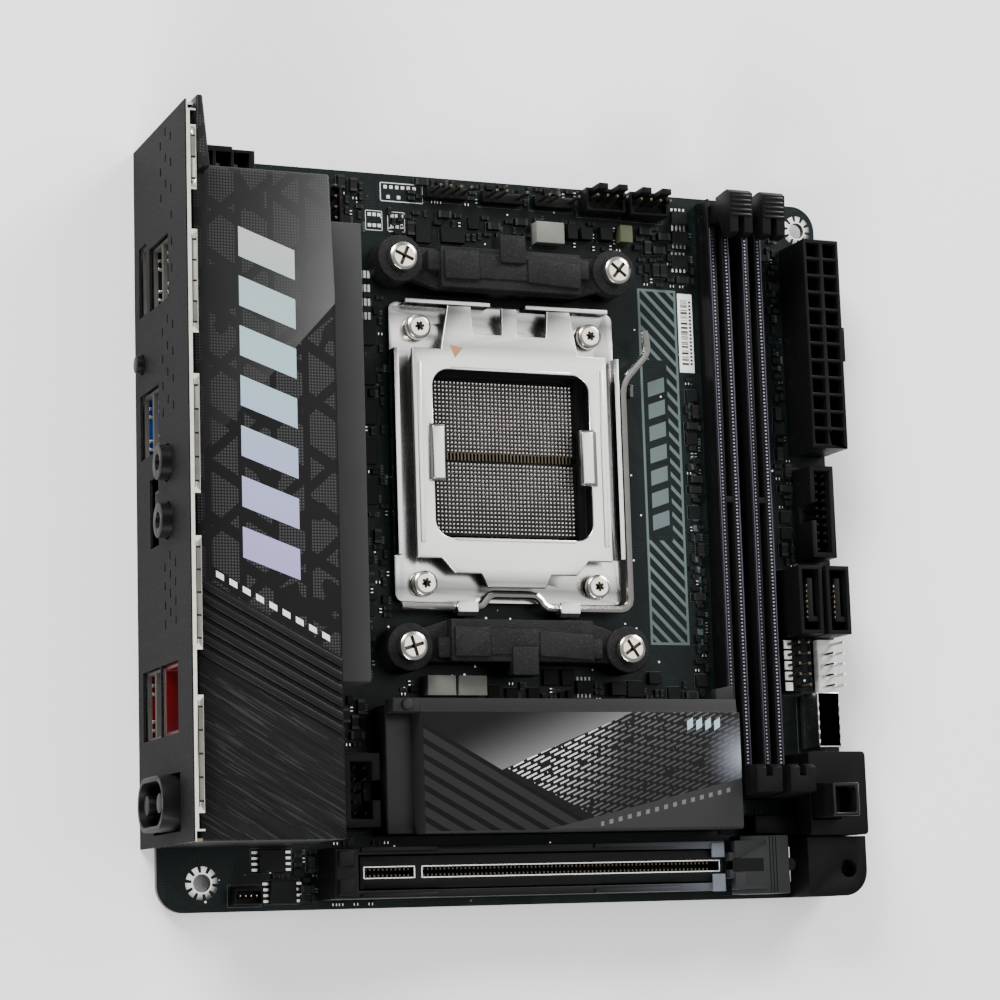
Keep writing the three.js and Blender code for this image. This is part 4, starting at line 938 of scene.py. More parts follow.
# %% [markdown]
# ## Heatsinks
# The grey block beside the cover is bead-blasted: it sparkles slightly and has no direction. The
# slab over the drive is black. It is printed with wide slanting stripes on the left, rows of short
# broken strokes to their right, and a plain grey corner with a row of dashes. Light is painted over
# the print: a pale fade of painted highlight above the stripes, strokes lit brighter near it and
# dimmer to the right, and a bluish spot of painted highlight towards the right end. All of that is
# flat, so it is drawn in the material; only the screw and lug are modelled.

# %% Heatsink finishes
def blasted(name, dark, light):
    """An even, fine sparkle with no direction."""
    paint = Finish(name)
    paint.place()
    spark = paint.noise(9.0, 5.0)
    cloud = paint.noise(0.08, 2.0)
    return paint.surface(
        Base_Color=paint.mix(spark * 0.6 + cloud * 0.4, dark, light),
        Roughness=0.58 + spark * 0.12,
        Specular_IOR_Level=0.15,
        Normal=paint.bump(spark, 0.06),
    )


def drive_print():
    """Stripes low on the left, a pale fade of painted highlight above them, and broken strokes to the right."""
    paint = Finish("drive_print")
    x, y, z = paint.place()
    fall = y + x * 0.57
    climb = y - x * 0.398 + 51.47
    striped = fall < -60.9
    stripes = (fall / 1.15).repeat(3.0) < 0.40
    corner = (y - x * 0.227) < -68.97
    # Painted highlight: a pale fade above the stripes.
    fade = (1.0 - climb / 13.0).maths("MAXIMUM", 0.0) * (climb > 0.0) * (1.0 - striped)
    broken = (climb < 0.0) * ((y + x * 0.527) > -59.4) * (1.0 - corner)
    along = (x + y * 0.45) / 1.1
    over = y - x * 0.45
    line = over.maths("FLOOR")
    stroke = ((along + line * 1.37).repeat(3.7) < 0.74) * (abs(over.repeat(1.0) - 0.5) < 0.20)
    missing = paint.noise(1.0, 1.0, paint.point(line * 7.3, along * 0.27)) > 0.35
    # Painted highlight: the printed strokes are brighter near the fade and dimmer to the right.
    near = (1.0 + climb / 24.0).maths("MAXIMUM", 0.0)
    highlight_falloff = (1.0 - (x - 4.0) / 17.0).maths("MINIMUM", 1.0).maths("MAXIMUM", 0.07)
    near = near * near * highlight_falloff
    ink = stroke * broken * missing
    base = paint.mix(fade * fade * 0.9, (0.0040, 0.0040, 0.0043), (0.110, 0.110, 0.112))
    base = paint.mix(striped, base, (0.0125, 0.0125, 0.0130))
    base = paint.mix(striped * stripes, base, (0.0022, 0.0022, 0.0024))
    base = paint.mix(corner, base, (0.0220, 0.0220, 0.0228))
    # Painted highlight: a bluish spot of light towards the right end.
    highlight_spot = (1.0 - paint.away(x - 51.0, y + 52.5) / 11.0).maths("MAXIMUM", 0.0)
    base = paint.mix(highlight_spot * highlight_spot * (1.0 - corner), base, (0.22, 0.24, 0.28))
    base = paint.mix(ink * (near * 1.5 + 0.045).maths("MINIMUM", 1.0), base, (0.52, 0.52, 0.52))
    below = x * 0.227 - y - 68.97
    row = below.between(1.4, 2.4) * (x.repeat(2.3) < 0.42) * x.between(14.0, 47.0)
    base = paint.mix(row, base, (0.10, 0.10, 0.10))
    top = z > 15.9
    return paint.surface(
        Base_Color=paint.mix(top, (0.0170, 0.0170, 0.0176), base),
        Roughness=0.38 + striped * 0.12 + paint.noise(0.2) * 0.08,
        Specular_IOR_Level=0.1,
        Normal=paint.bump(striped * stripes * top + corner * 0.5, 0.05),
    )


BLASTED = blasted("blasted_grey", (0.022, 0.022, 0.023), (0.050, 0.050, 0.051))
DRIVE_PRINT = drive_print()
DRIVE_INK = rainbow_ink("drive_ink", -42.0, -22.0)
print("heatsink finishes ready")

# %% Heatsink pieces
refinish("vrm_heatsink", BLASTED, 0.35, 3)
refinish("chipset_heatsink", BLACK_METAL, 0.4, 3)
dx0, dx1, dy0, dy1, dz0, dz1 = span("drive_heatsink")
drive = [dress(finished("drive_heatsink", 0.35, 3), DRIVE_PRINT)]
for number in range(4):
    left = dx1 - 13.6 + 2.3 * number
    mark = slab("mark", left, left + 1.5, -46.6, -44.4, dz1 - 0.1, dz1 + 0.05, 0.02, 0.9, 1)
    drive.append(dress(mark, DRIVE_INK))
screw = rod("screw", dx0 + 3.2, dy1 - 1.5, dz1 - 2.2, dz1 - 0.6, 1.3, 24, 0.15)
lug = slab("lug", dx1 - 5.0, dx1 - 0.4, dy1 - 1.2, dy1 + 2.4, dz1 - 4.6, dz1 - 1.7, 0.3, 0.9)
stand_in("drive_heatsink", drive + [dress(screw, BLACK_METAL), dress(lug, DRIVE_PRINT)])

# %% [markdown]
# ## Memory slots
# A slot is a long black moulding with a narrow trench, and a row of folded contacts shows along each
# lip. One contact is modelled and repeated by an Array modifier along the slot, which keeps the
# spacing exact. The rocking latch at the far end has ridges for the thumb.

# %% Memory slots and latches
MEMORY_PITCH = 0.85
MEMORY_CONTACTS = 152
for number in (1, 2):
    slot_name = f"memory_slot_{number}"
    x0, x1, y0, y1, z0, z1 = span(slot_name)
    middle = (x0 + x1) / 2
    fittings = [dress(finished(slot_name, 0.18), BLACK_PLASTIC)]
    for side in (-1, 1):
        low, high = sorted((middle + side * 0.95, middle + side * 1.95))
        contact = slab("contact", low, high, y0 + 8.2, y0 + 8.52, 6.6, 7.12, 0)
        choose(contact, lambda p: abs(p.x - middle) < 1.2 and p.z > 6.8)
        bpy.ops.transform.translate(value=(0, 0, -0.3 * MM))
        bpy.ops.object.mode_set(mode="OBJECT")
        fittings.append(dress(row(contact, MEMORY_CONTACTS, y=MEMORY_PITCH), CONTACT_TIN))
        rail_x = middle + side * 2.38
        rail = slab("rail", rail_x - 0.12, rail_x + 0.12, y0 + 7.6, y1 - 7.4, 6.5, 7.2, 0.05)
        fittings.append(dress(rail, RAIL_GREY))
        rung_x = middle + side * 2.0
        rung = slab("rung", rung_x - 0.36, rung_x + 0.36, y0 + 8.62, y0 + 8.98, 6.5, 7.1, 0)
        fittings.append(dress(row(rung, MEMORY_CONTACTS, y=MEMORY_PITCH), BLACK_PLASTIC))
    for y in (y0 + 2.2, y0 + 5.4):
        rib = slab("tower_rib", x0 - 0.02, x1 + 0.02, y - 0.4, y + 0.4, 9.6, 19.2, 0.2)
        fittings.append(dress(rib, BLACK_PLASTIC))
    stand_in(slot_name, fittings)
    latch_name = f"memory_latch_{number}"
    x0, x1, y0, y1, z0, z1 = span(latch_name)
    latch = [dress(finished(latch_name, 0.4, 3), BLACK_PLASTIC)]
    for ridge in range(5):
        y = y0 + 4.5 + ridge * 1.15
        thumb = slab("ridge", x0 + 0.35, x1 - 0.35, y, y + 0.6, z1 - 0.9, z1 + 0.1, 0.2)
        latch.append(dress(thumb, SATIN_BLACK))
    stand_in(latch_name, latch, latch_name)

# %% [markdown]
# ## Sockets, headers and their pins
# Every plug on the board meets square pins, so a pin is modelled once for each header, as a post with
# a chamfered tip, and stamped. Its places come from the middle of the header, the pitch of its pins
# and how far it is turned, so a pin always stands where the moulding has room for it.

# %% Pins
def pin_places(middle, columns, rows, pitch, quarter_turns, low, skip=(), row_pitch=None):
    """Places of pins in columns and rows about a middle, with the whole set turned."""
    places = []
    for column in range(columns):
        for line in range(rows):
            if column * rows + line in skip:
                continue
            u = (column - (columns - 1) / 2) * pitch
            v = (line - (rows - 1) / 2) * (row_pitch or pitch)
            for _ in range(quarter_turns):
                u, v = -v, u
            places.append((middle[0] + u, middle[1] + v, low, 0))
    return places


def pins(places, height, width=0.68, finish=GOLD):
    """One chamfered post, stamped at each place."""
    half = width / 2
    post = slab("pin", -half, half, -half, half, 0, height, 0.13, segments=1)
    return stamp("pins", dress(post, finish), places)


def middle_of(node):
    x0, x1, y0, y1 = span(node)[:4]
    return (x0 + x1) / 2, (y0 + y1) / 2


# %% Headers
PIN_FOOT = 1.8
# columns, rows, pitch, quarter turns, pins left out, height of the tips
HEADERS = {
    "audio_header": (5, 2, 2.54, 3, (7,), 7.4),
    "usb_header": (10, 2, 2.0, 1, (0,), 7.4),
    "front_panel_header": (5, 2, 2.54, 1, (9,), 8.66),
    "speaker_header": (5, 2, 2.54, 1, (1,), 8.66),
    "led_header": (4, 1, 2.54, 0, (), 8.66),
    "rgb_header_1": (4, 1, 2.54, 0, (2,), 8.66),
    "rgb_header_2": (4, 1, 2.54, 0, (2,), 8.66),
    "case_fan_header": (4, 1, 2.54, 0, (), 9.06),
    "pump_fan_header": (4, 1, 2.54, 0, (), 9.06),
    "processor_fan_header": (4, 1, 2.54, 1, (), 9.06),
}
for node, (columns, rows, pitch, turns, skip, top) in HEADERS.items():
    white = node == "front_panel_header"
    shell = dress(finished(node, 0.1), WHITE_PLASTIC if white else BLACK_PLASTIC)
    places = pin_places(middle_of(node), columns, rows, pitch, turns, PIN_FOOT, skip)
    fittings = [shell, pins(places, top - PIN_FOOT, finish=STEEL if white else DARK_GOLD)]
    if node == "speaker_header":
        left = span(node)[0]
        for number in range(5):
            y = middle_of(node)[1] + (number - 2) * pitch
            mark = slab("print", left + 0.15, left + 2.1, y - 1.0, y + 1.0, 2.6, 2.9, 0.03, segments=1)
            fittings.append(dress(mark, WHITE_PLASTIC))
    stand_in(node, fittings)

# %% Power plugs
PLUG_PITCH = 4.2
PLUG_ROW_PITCH = 4.5
BOARD_PLUG_X = 79.5
PROCESSOR_PLUG_Y = 79.2
plugs = (
    ("board_power_connector", 12, 1, (BOARD_PLUG_X, middle_of("board_power_connector")[1])),
    ("processor_power_connector", 4, 0, (middle_of("processor_power_connector")[0], PROCESSOR_PLUG_Y)),
)
for node, columns, turns, middle in plugs:
    shell = dress(finished(node, 0.16), BLACK_PLASTIC)
    places = pin_places(middle, columns, 2, PLUG_PITCH, turns, 3.8, row_pitch=PLUG_ROW_PITCH)
    stand_in(node, [shell, pins(places, 4.6, 1.1, DARK_GOLD)])

# %% Drive ports, small fan header and upright USB-C
for node in ("drive_port_1", "drive_port_2"):
    x, y = middle_of(node)
    shell = dress(finished(node, 0.18), BLACK_PLASTIC)
    strip = slab("strip", x - 0.78, x - 0.62, y - 4.4, y - 3.9, 5.2, 11.2, 0.03, segments=1)
    stand_in(node, [shell, dress(row(strip, 7, y=1.27), GOLD)])
fan = dress(finished("port_fan_header", 0.08), BLACK_PLASTIC)
fan_pins = pins(pin_places(middle_of("port_fan_header"), 4, 1, 1.25, 0, 1.0), 2.5, 0.44)
stand_in("port_fan_header", [fan, fan_pins])
x0, x1, y0, y1, z0, z1 = span("usb_c_header")
x, y = middle_of("usb_c_header")
tongue = dress(slab("tongue", x - 0.55, x + 0.55, y - 4.9, y + 4.9, 1.8, 8.1, 0.2), BLACK_PLASTIC)
strip = slab("strip", x - 0.6, x + 0.6, y - 4.2, y - 3.95, 4.4, 7.8, 0.02, segments=1)
fittings = [dress(finished("usb_c_header", 0.3, 3), STEEL), tongue, dress(row(strip, 13, y=0.68), GOLD)]
for left in (x0 + 0.1, x1 - 0.4):
    tooth = slab("tooth", left, left + 0.3, y0 + 1.0, y0 + 1.9, z1 - 0.4, z1 + 0.06, 0.04, segments=1)
    fittings.append(dress(row(tooth, 5, y=2.2), WHITE_INK))
well = slab("well", x0 + 0.62, x1 - 0.62, y0 + 0.62, y1 - 0.62, 1.8, 2.2, 0.1)
stand_in("usb_c_header", fittings + [dress(well, BLACK_PLASTIC)])

# %% [markdown]
# ## Rear shield
# The shield is one folded sheet. Its face is sprayed dark and speckled, and its rims stay bare tin,
# because they have to touch the case. The rim is a row of springy tabs with pressed dimples, so the
# notches and dimples are cut with Booleans, each from one joined set of shapes at a time. The flange
# at the near end is a browner tin, and its dots are small inlaid blocks.

# %% Shield finish
def shield_coat():
    """Speckled dark spray on the face, bare tin on the rims with painted shade just under the top rim and in its
    pits, and a browner tin at the near end.
    """
    paint = Finish("shield_coat")
    x, y, z = paint.place()
    x0, x1, y0, y1, z0, z1 = span("io_shield")
    bare = (x > x0 + 0.62) * ((z > z1 - 1.4) + (z < z0 + 1.0) + (y > y1 - 1.0) + (y < y0 + 1.0))
    bare = (bare + (z > z1 - 0.35) * (x > x0 + 0.3)).maths("MINIMUM", 1.0)
    speckle = paint.noise(2.6, 3.0)
    grit = paint.cells(1.7) < 0.26
    # Painted shade: tin just under the top rim, in the dimple pits and on the rim's walls is darkened.
    pit_shade = (z < z1 - 0.07) * (z > z1 - 0.59) * (x > x0 + 0.75) * (z > 30.0)
    coat = paint.mix((speckle - 0.32) * 2.6, (0.0020, 0.0020, 0.0021), (0.0150, 0.0150, 0.0154))
    coat = paint.mix(grit * 0.6, coat, (0.0015, 0.0015, 0.0016))
    tin = paint.mix(paint.noise(0.4, 3.0), (0.50, 0.48, 0.40), (0.76, 0.74, 0.68))
    tin = paint.mix(pit_shade, tin, (0.03, 0.028, 0.022))
    tin = paint.mix((y < y0 + 1.0) * (z < z1 - 1.4), tin, (0.17, 0.145, 0.095))
    return paint.surface(
        Base_Color=paint.mix(bare, coat, tin),
        Metallic=bare,
        Roughness=0.62 - bare * 0.32,
        Specular_IOR_Level=0.04,
        Normal=paint.bump(speckle * (1.0 - bare), 0.05),
    )


SHIELD_COAT = shield_coat()
print("shield finish:", len(SHIELD_COAT.node_tree.nodes), "nodes")

# %% Shield with tabs, dimples and vents
hx0, hx1, hy0, hy1, hz0, hz1 = span("io_shield")
shield = finished("io_shield", 0)
TABS = ((80.6, 66.4), (57.7, 35.3), (26.5, 1.1), (-7.9, -31.7), (-41.1, -65.3))
notches = []
edges = [hy1 - 2.4] + [end for tab in TABS for end in tab] + [hy0 + 2.4]
for high, low in zip(edges[0::2], edges[1::2]):
    for rim_low, rim_high in ((hz1 - 0.9, hz1 + 1), (hz0 - 1, hz0 + 0.9)):
        notches.append(slab("notch", hx0 + 1.1, hx1 + 1, low + 0.01, high - 0.01, rim_low, rim_high, 0))
carve(shield, together("notches", notches))
vents = []
for first, count, pitch in ((81.3, 6, 5.85), (39.6, 4, 5.9), (-11.9, 4, 4.1)):
    for number in range(count):
        y = first - number * pitch
        vents.append((hx0 + 0.3, y, 27.7, 0))
        if number < 4 and y > -25 and not (first > 80 and number > 2):
            vents.append((hx0 + 0.3, y + 2.1, 23.5, 0))
            vents.append((hx0 + 0.3, y - 0.1, 19.4, 0))
hole = slab("vent", -1, 1, -0.9, 0.9, -0.42, 0.42, 0)
carve(shield, stamp("vents", hole, vents))
dimples = []
grooves = []
for high, low in TABS:
    steps = max(2, round((high - low) / 4.7))
    for number in range(steps):
        y = high - (number + 0.5) * (high - low) / steps
        dimples.append((hx0 + 1.75, y, hz1, 0))
    grooves.append(slab("groove", hx0 + 1.15, hx0 + 1.32, low + 1.2, high - 1.2, hz1 - 0.28, hz1 + 0.4, 0))
dent = slab("dent", -0.45, 0.45, -0.22, 0.22, -0.3, 0.4, 0)
carve(shield, stamp("dimples", dent, dimples))
carve(shield, together("grooves", grooves))
only(shield)
bpy.ops.object.shade_smooth_by_angle(angle=math.radians(30))
DOT_SINK = 0.16
dot_places = []
for y in (hy0 + DOT_SINK, hy1 - DOT_SINK):
    for number in range(8):
        dot_places.append((hx0 + 1.6, y, 4.5 + number * 4.1, 90))
dot = slab("dot", -0.3, 0.3, -0.45, 0.45, -0.5, 0.5, 0.12)
dots = stamp("flange_dots", dress(dot, CHIP_BLACK), dot_places)
stand_in("io_shield", [dress(shield, SHIELD_COAT), dots])

# %% [markdown]
# ## Rear ports
# A port is a folded tin box round a plastic tongue, with springs bent inwards from its walls. The
# tin is the CAD copy with its edges rolled, coloured a dark painted shade, since the inside of the
# box lies in shadow. The tongue and springs are added inside it, because they are what the eye
# finds when it looks into the hole.

# %% Ports
# rows of openings, colour of the plastic
PORTS = {
    "display_port": (1, BLACK_PLASTIC),
    "usb_port_pair_black": (2, BLACK_PLASTIC),
    "usb_port_pair_blue": (2, BLUE_PLASTIC),
    "usb_c_port": (1, BLACK_PLASTIC),
    "usb_port_pair_red": (2, RED_PLASTIC),
}
for node, (rows, plastic) in PORTS.items():
    x0, x1, y0, y1, z0, z1 = span(node)
    # The tin box is dressed in painted shade.
    pieces = [dress(finished(node, 0.12, 1), PORT_PAINTED_SHADE)]
    height = (z1 - z0) / rows
    for number in range(rows):
        low = z0 + number * height
        high = low + height
        left, right = y0 + 0.9, y1 - 0.9
        lining = slab("lining", x0 + 0.9, x1 - 3.0, left, right, low + 0.72, low + 0.86, 0)
        back = slab("back", x1 - 3.2, x1 - 2.6, left, right, low + 0.9, high - 0.9, 0)
        tongue = slab("tongue", x0 + 1.4, x1 - 3.0, y0 + 1.5, y1 - 1.5, high - 2.7, high - 2.35, 0.1)
        pieces += [dress(piece, plastic) for piece in (lining, back, tongue)]
        if node == "usb_c_port":
            continue
        for y in (y0 + 3.6, y1 - 3.6):
            for lean in (-1.8, 1.8):
                start, end = y - 0.5 + lean / 2, y + 0.25 + lean / 2
                spring = slab("spring", x0 + 0.8, x1 - 5.5, start, end, low + 0.95, low + 1.3, 0.08, lean)
                pieces.append(dress(spring, STEEL))
    stand_in(node, pieces)

# %% Network port, jacks, wireless plug and rear button
x0, x1, y0, y1, z0, z1 = span("network_port")
jack = [dress(finished("network_port", 0.2), RED_PLASTIC)]
for number in range(8):
    y = middle_of("network_port")[1] - 3.6 + number * 1.02
    jack.append(dress(slab("wire", x0 + 2, x1 - 4, y - 0.14, y + 0.14, z1 - 3.6, z1 - 3.3, 0), GOLD))
stand_in("network_port", jack)
refinish("audio_jacks", BLACK_PLASTIC, 0.3)
x0, y = span("wireless_plug")[0], middle_of("wireless_plug")[1]
plug = [dress(finished("wireless_plug", 0.35), BLACK_PLASTIC)]
for height in (13.6, 23.6):
    bpy.ops.object.select_all(action="DESELECT")
    bpy.ops.mesh.primitive_cylinder_add(
        vertices=20, radius=1.75 * MM, depth=0.9 * MM,
        location=at(x0 + 1.3, y, height), rotation=(0, math.radians(90), 0),
    )
    plug.append(dress(ease(settle(bpy.context.object), 0.15), GOLD))
stand_in("wireless_plug", plug)
refinish("rear_button", BLACK_PLASTIC, 0.25, 2, body="rear_button")

# %% [markdown]
# ## Expansion slot, armour and release
# The slot is a moulding with two rows of contacts in its trench. Round it goes a folded black steel
# jacket that takes the weight of a heavy card. Pressing the button by the corner slides a link and
# rocks the latch, so each of these three stays a separate piece on its own moving body.

# %% Expansion slot and armour
ex0, ex1, ey0, ey1, ez0, ez1 = span("expansion_slot")
SLOT_Y = (ey0 + ey1) / 2
slot = [dress(finished("expansion_slot", 0.12), BLACK_PLASTIC)]
for side in (-1, 1):
    y = SLOT_Y + side * 0.72
    for left, count in ((ex0 + 1.6, 11), (ex0 + 15.2, 71)):
        contact = slab("contact", left, left + 0.35, y - 0.26, y + 0.26, 8.6, 9.9, 0)
        slot.append(dress(row(contact, count, x=1.0), DARK_GOLD))
KEY_LEFT = ex0 + 12.9
for left, right in ((ex0 + 0.8, KEY_LEFT), (KEY_LEFT + 1.5, ex1 - 1.0)):
    lips = [
        (left, right, SLOT_Y - 1.35, SLOT_Y - 1.12),
        (left, right, SLOT_Y + 1.12, SLOT_Y + 1.35),
        (left, left + 0.23, SLOT_Y - 1.3, SLOT_Y + 1.3),
        (right - 0.23, right, SLOT_Y - 1.3, SLOT_Y + 1.3),
    ]
    for lip in lips:
        slot.append(dress(slab("lip", *lip, ez1 - 0.3, ez1 + 0.06, 0.05, segments=1), WHITE_INK))
stand_in("expansion_slot", slot)


def lacquered(name, low_x, high_x):
    """Black lacquer on steel, with a painted cool shine towards one end."""
    paint = Finish(name)
    x, y, z = paint.place()
    run = ((x - low_x) / (high_x - low_x)).maths("MAXIMUM", 0.0)
    flat = z > 11.3
    # Painted sheen: the top lightens to a cool grey towards the far end.
    shine = run * run * run * flat
    wisp = paint.noise(0.5, 3.0)
    return paint.surface(
        Base_Color=paint.mix(shine * 0.7, (0.0040, 0.0041, 0.0044), (0.11, 0.12, 0.14)),
        Roughness=0.34 + wisp * 0.08,
        Specular_IOR_Level=0.12,
        Normal=paint.bump(paint.noise(4.0, 2.0), 0.004),
    )


ax0, ax1, ay0, ay1, az0, az1 = span("slot_armour")
LACQUER = lacquered("armour_lacquer", ax0 + 50, ax1)
armour = [dress(finished("slot_armour", 0.3, 3), LACQUER)]
for side in (-1, 1):
    edge_y = SLOT_Y + side * (ay1 - ay0) / 2
    y = edge_y - side * 0.6
    for left, right in ((ax0 + 6, ax0 + 24), (ax0 + 62, ax1 - 12)):
        flange = slab("flange", left, right, y - 0.55, y + 0.55, az1 - 1.0, az1 - 0.1, 0.25)
        armour.append(dress(flange, LACQUER))
# Painted sheen: two thin pale slabs near the far end stand for light reflected on the armour's top.
PAINTED_ARMOUR_SHEEN = moulded("painted_cool_sheen", (0.095, 0.105, 0.125), rough=0.35, grain=0.004, spread=0.3)
for low, high in ((SLOT_Y - 5.9, SLOT_Y - 1.9), (SLOT_Y + 1.9, SLOT_Y + 5.2)):
    sheen_plate = slab("sheen_plate", ax1 - 3.6, ax1 - 0.4, low, high, az1 - 0.6, az1 - 0.05, 0.12)
    armour.append(dress(sheen_plate, PAINTED_ARMOUR_SHEEN))
stand_in("slot_armour", armour)

# %% Slot latch, link, button and corner block
kx0, kx1, ky0, ky1, kz0, kz1 = span("slot_latch")
latch_y = (ky0 + ky1) / 2
latch = [dress(finished("slot_latch", 0.35, 3), LATCH_GREY)]
for side in (-1, 1):
    low, high = sorted((latch_y + side * 1.6, latch_y + side * 5.6))
    wedge = slab("wedge", kx0 + 1.2, kx0 + 9.6, low, high, kz1 - 2.0, kz1 + 0.5, 0)
    choose(wedge, lambda p: p.z > kz1 - 1.0 and abs(p.y - latch_y) < 2 and p.x > kx0 + 5)
    bpy.ops.transform.translate(value=(0, side * 1.2 * MM, -1.6 * MM))
    bpy.ops.object.mode_set(mode="OBJECT")
    latch.append(dress(ease(wedge, 0.12, 2, 12), LATCH_GREY))
low, high = latch_y - 1.5, latch_y + 1.5
valley = slab("valley", kx0 + 0.8, kx0 + 8.8, low, high, kz1 - 0.6, kz1 + 0.04, 0.02, segments=1)
latch.append(dress(valley, BLACK_PLASTIC))
for number in range(3):
    left = kx1 - 5.2 + number * 0.8
    groove = slab("groove", left, left + 0.3, ky0 + 0.2, ky1 - 0.2, kz1 - 0.5, kz1 + 0.05, 0.02, segments=1)
    latch.append(dress(groove, BLACK_PLASTIC))
clip = slab("clip", kx1 - 0.3, kx1 + 1.2, latch_y - 4.1, latch_y + 4.1, kz1 - 2.6, kz1 - 1.9, 0.15)
latch.append(dress(clip, PORT_STEEL))
latch.append(dress(rod("clip_hole", kx1 + 1.0, latch_y, kz1 - 2.65, kz1 - 1.82, 1.5, 24, 0), BLACK_PLASTIC))
stand_in("slot_latch", latch, "slot_latch")
refinish("release_link", BLACK_PLASTIC, 0.3, body="release_link")
refinish("release_button", SATIN_BLACK, 0.4, 3, body="release_button")
refinish("button_housing", BLACK_PLASTIC, 0.35, 3)
refinish("corner_block", BLACK_PLASTIC, 0.3, 2)

# %% [markdown]
# ## Small soldered parts
# Hundreds of capacitors, resistors and chips cover the free board. Each kind is modelled once with
# few faces and stamped at many places. The larger ones have places of their own. The rest are drawn
# by lot from a fixed seed, zone by zone, and one that would touch another part, a larger component
# or the path of the sliding link is dropped.

# %% Masters for small parts
def two_pin(name, length, width, height, body, tip):
    """A capacitor or resistor: a body with a tinned cap on each end."""
    half_x, half_y = length * 0.3, width * 0.46
    parts = [dress(slab("body", -half_x, half_x, -half_y, half_y, 0, height * 0.94, 0), body)]
    for side in (-1, 1):
        low, high = sorted((side * length * 0.5, side * length * 0.3))
        parts.append(dress(slab("tip", low, high, -width / 2, width / 2, 0, height, 0), tip))
    return together(name, parts)


def legged_chip(name, length, width, height, legs, pitch, finish=SOLDER, leg_out=0.9):
    """A small package with a row of flat legs on two sides."""
    half_x, half_y = length / 2, width / 2
    body = slab("body", -half_x, half_x, -half_y, half_y, 0.1, height, 0.12, segments=1)
    parts = [dress(body, CHIP_BLACK)]
    for number in range(legs):
        x = (number - (legs - 1) / 2) * pitch
        for side in (-1, 1):
            low, high = sorted((side * half_y, side * (half_y + leg_out)))
            leg = slab("leg", x - pitch * 0.22, x + pitch * 0.22, low, high, 0.0, 0.22, 0)
            parts.append(dress(leg, finish))
    return together(name, parts)


def block(name, length, width, height, finish=CHIP_BLACK, edge=0.14, segments=1):
    """A plain block at the board's middle, ready to be stamped."""
    half_x, half_y = length / 2, width / 2
    return dress(slab(name, -half_x, half_x, -half_y, half_y, 0, height, edge, segments=segments), finish)


DULL_TIN = plated("dull_tin_ends", (0.045, 0.046, 0.046), rough=0.5, wear=0.5)
print("small part masters ready")

# %% Where the parts may stand
MOUNT_HOLES = ((-51.98, 78.83), (80.1, 78.83), (-74.84, -78.65), (80.1, -78.65))
MOUNT_REACH = 5.4
PART_ROOM = 0.3
TRIES_EACH = 14
COMPONENTS = [
    span(node) for node in nodes
    if span(node)[4] < 6.0 and span(node)[5] > 0.6 and node != "io_shield"
]
link = span("release_link")
LINK_TRAVEL = 2.6
COMPONENTS.append((link[0] - LINK_TRAVEL, link[1] + LINK_TRAVEL) + link[2:])
taken = []


def clear(x, y, half_x, half_y, room=0.35):
    """Whether a part fits here without touching a screw's place, a component or another part."""
    for hole_x, hole_y in MOUNT_HOLES:
        if abs(x - hole_x) < half_x + MOUNT_REACH and abs(y - hole_y) < half_y + MOUNT_REACH:
            return False
    for x0, x1, y0, y1, z0, z1 in COMPONENTS:
        if x0 - half_x - room < x < x1 + half_x + room and y0 - half_y - room < y < y1 + half_y + room:
            return False
    for other_x, other_y, other_half_x, other_half_y in taken:
        near_x = abs(x - other_x) < half_x + other_half_x + PART_ROOM
        if near_x and abs(y - other_y) < half_y + other_half_y + PART_ROOM:
            return False
    return True


def halves_of(length, width, turn):
    return (length / 2, width / 2) if turn == 0 else (width / 2, length / 2)


def claim(x, y, length, width, turn=0):
    """Marks a place as taken, and gives it in the form that stamp wants."""
    half_x, half_y = halves_of(length, width, turn)
    taken.append((x, y, half_x, half_y))
    return x, y, 0, turn


def scatter(length, width, count, seed):
    """Places for up to that many parts, drawn by lot from the zones."""
    lot = random.Random(seed)
    places = []
    for _ in range(count * TRIES_EACH):
        if len(places) >= count:
            break
        x0, x1, y0, y1 = lot.choice(ZONES)
        turn = lot.choice((0, 90))
        x = round(lot.uniform(x0, x1) * 2) / 2
        y = round(lot.uniform(y0, y1) * 2) / 2
        half_x, half_y = halves_of(length, width, turn)
        inside = x0 + half_x < x < x1 - half_x and y0 + half_y < y < y1 - half_y
        if inside and clear(x, y, half_x, half_y):
            places.append(claim(x, y, length, width, turn))
    return places


ZONES = [
    (-39.5, -29.5, -34, 66), (-28, 50, -38.6, -32.8), (-28, 50, 69, 77), (36, 51, 62, 77),
    (-60, -34, 69, 84), (70.5, 75.4, -6, 76), (-60, -48, -84, -72), (-50, -36, -49, -37),
    (52, 84, 68, 84), (50, 72, -72, -64), (-46, -30, -84.4, -70), (-23, 23, 78.6, 84.6),
    (46.6, 52, -38, 40),
]
print(len(COMPONENTS), "components to keep clear of")

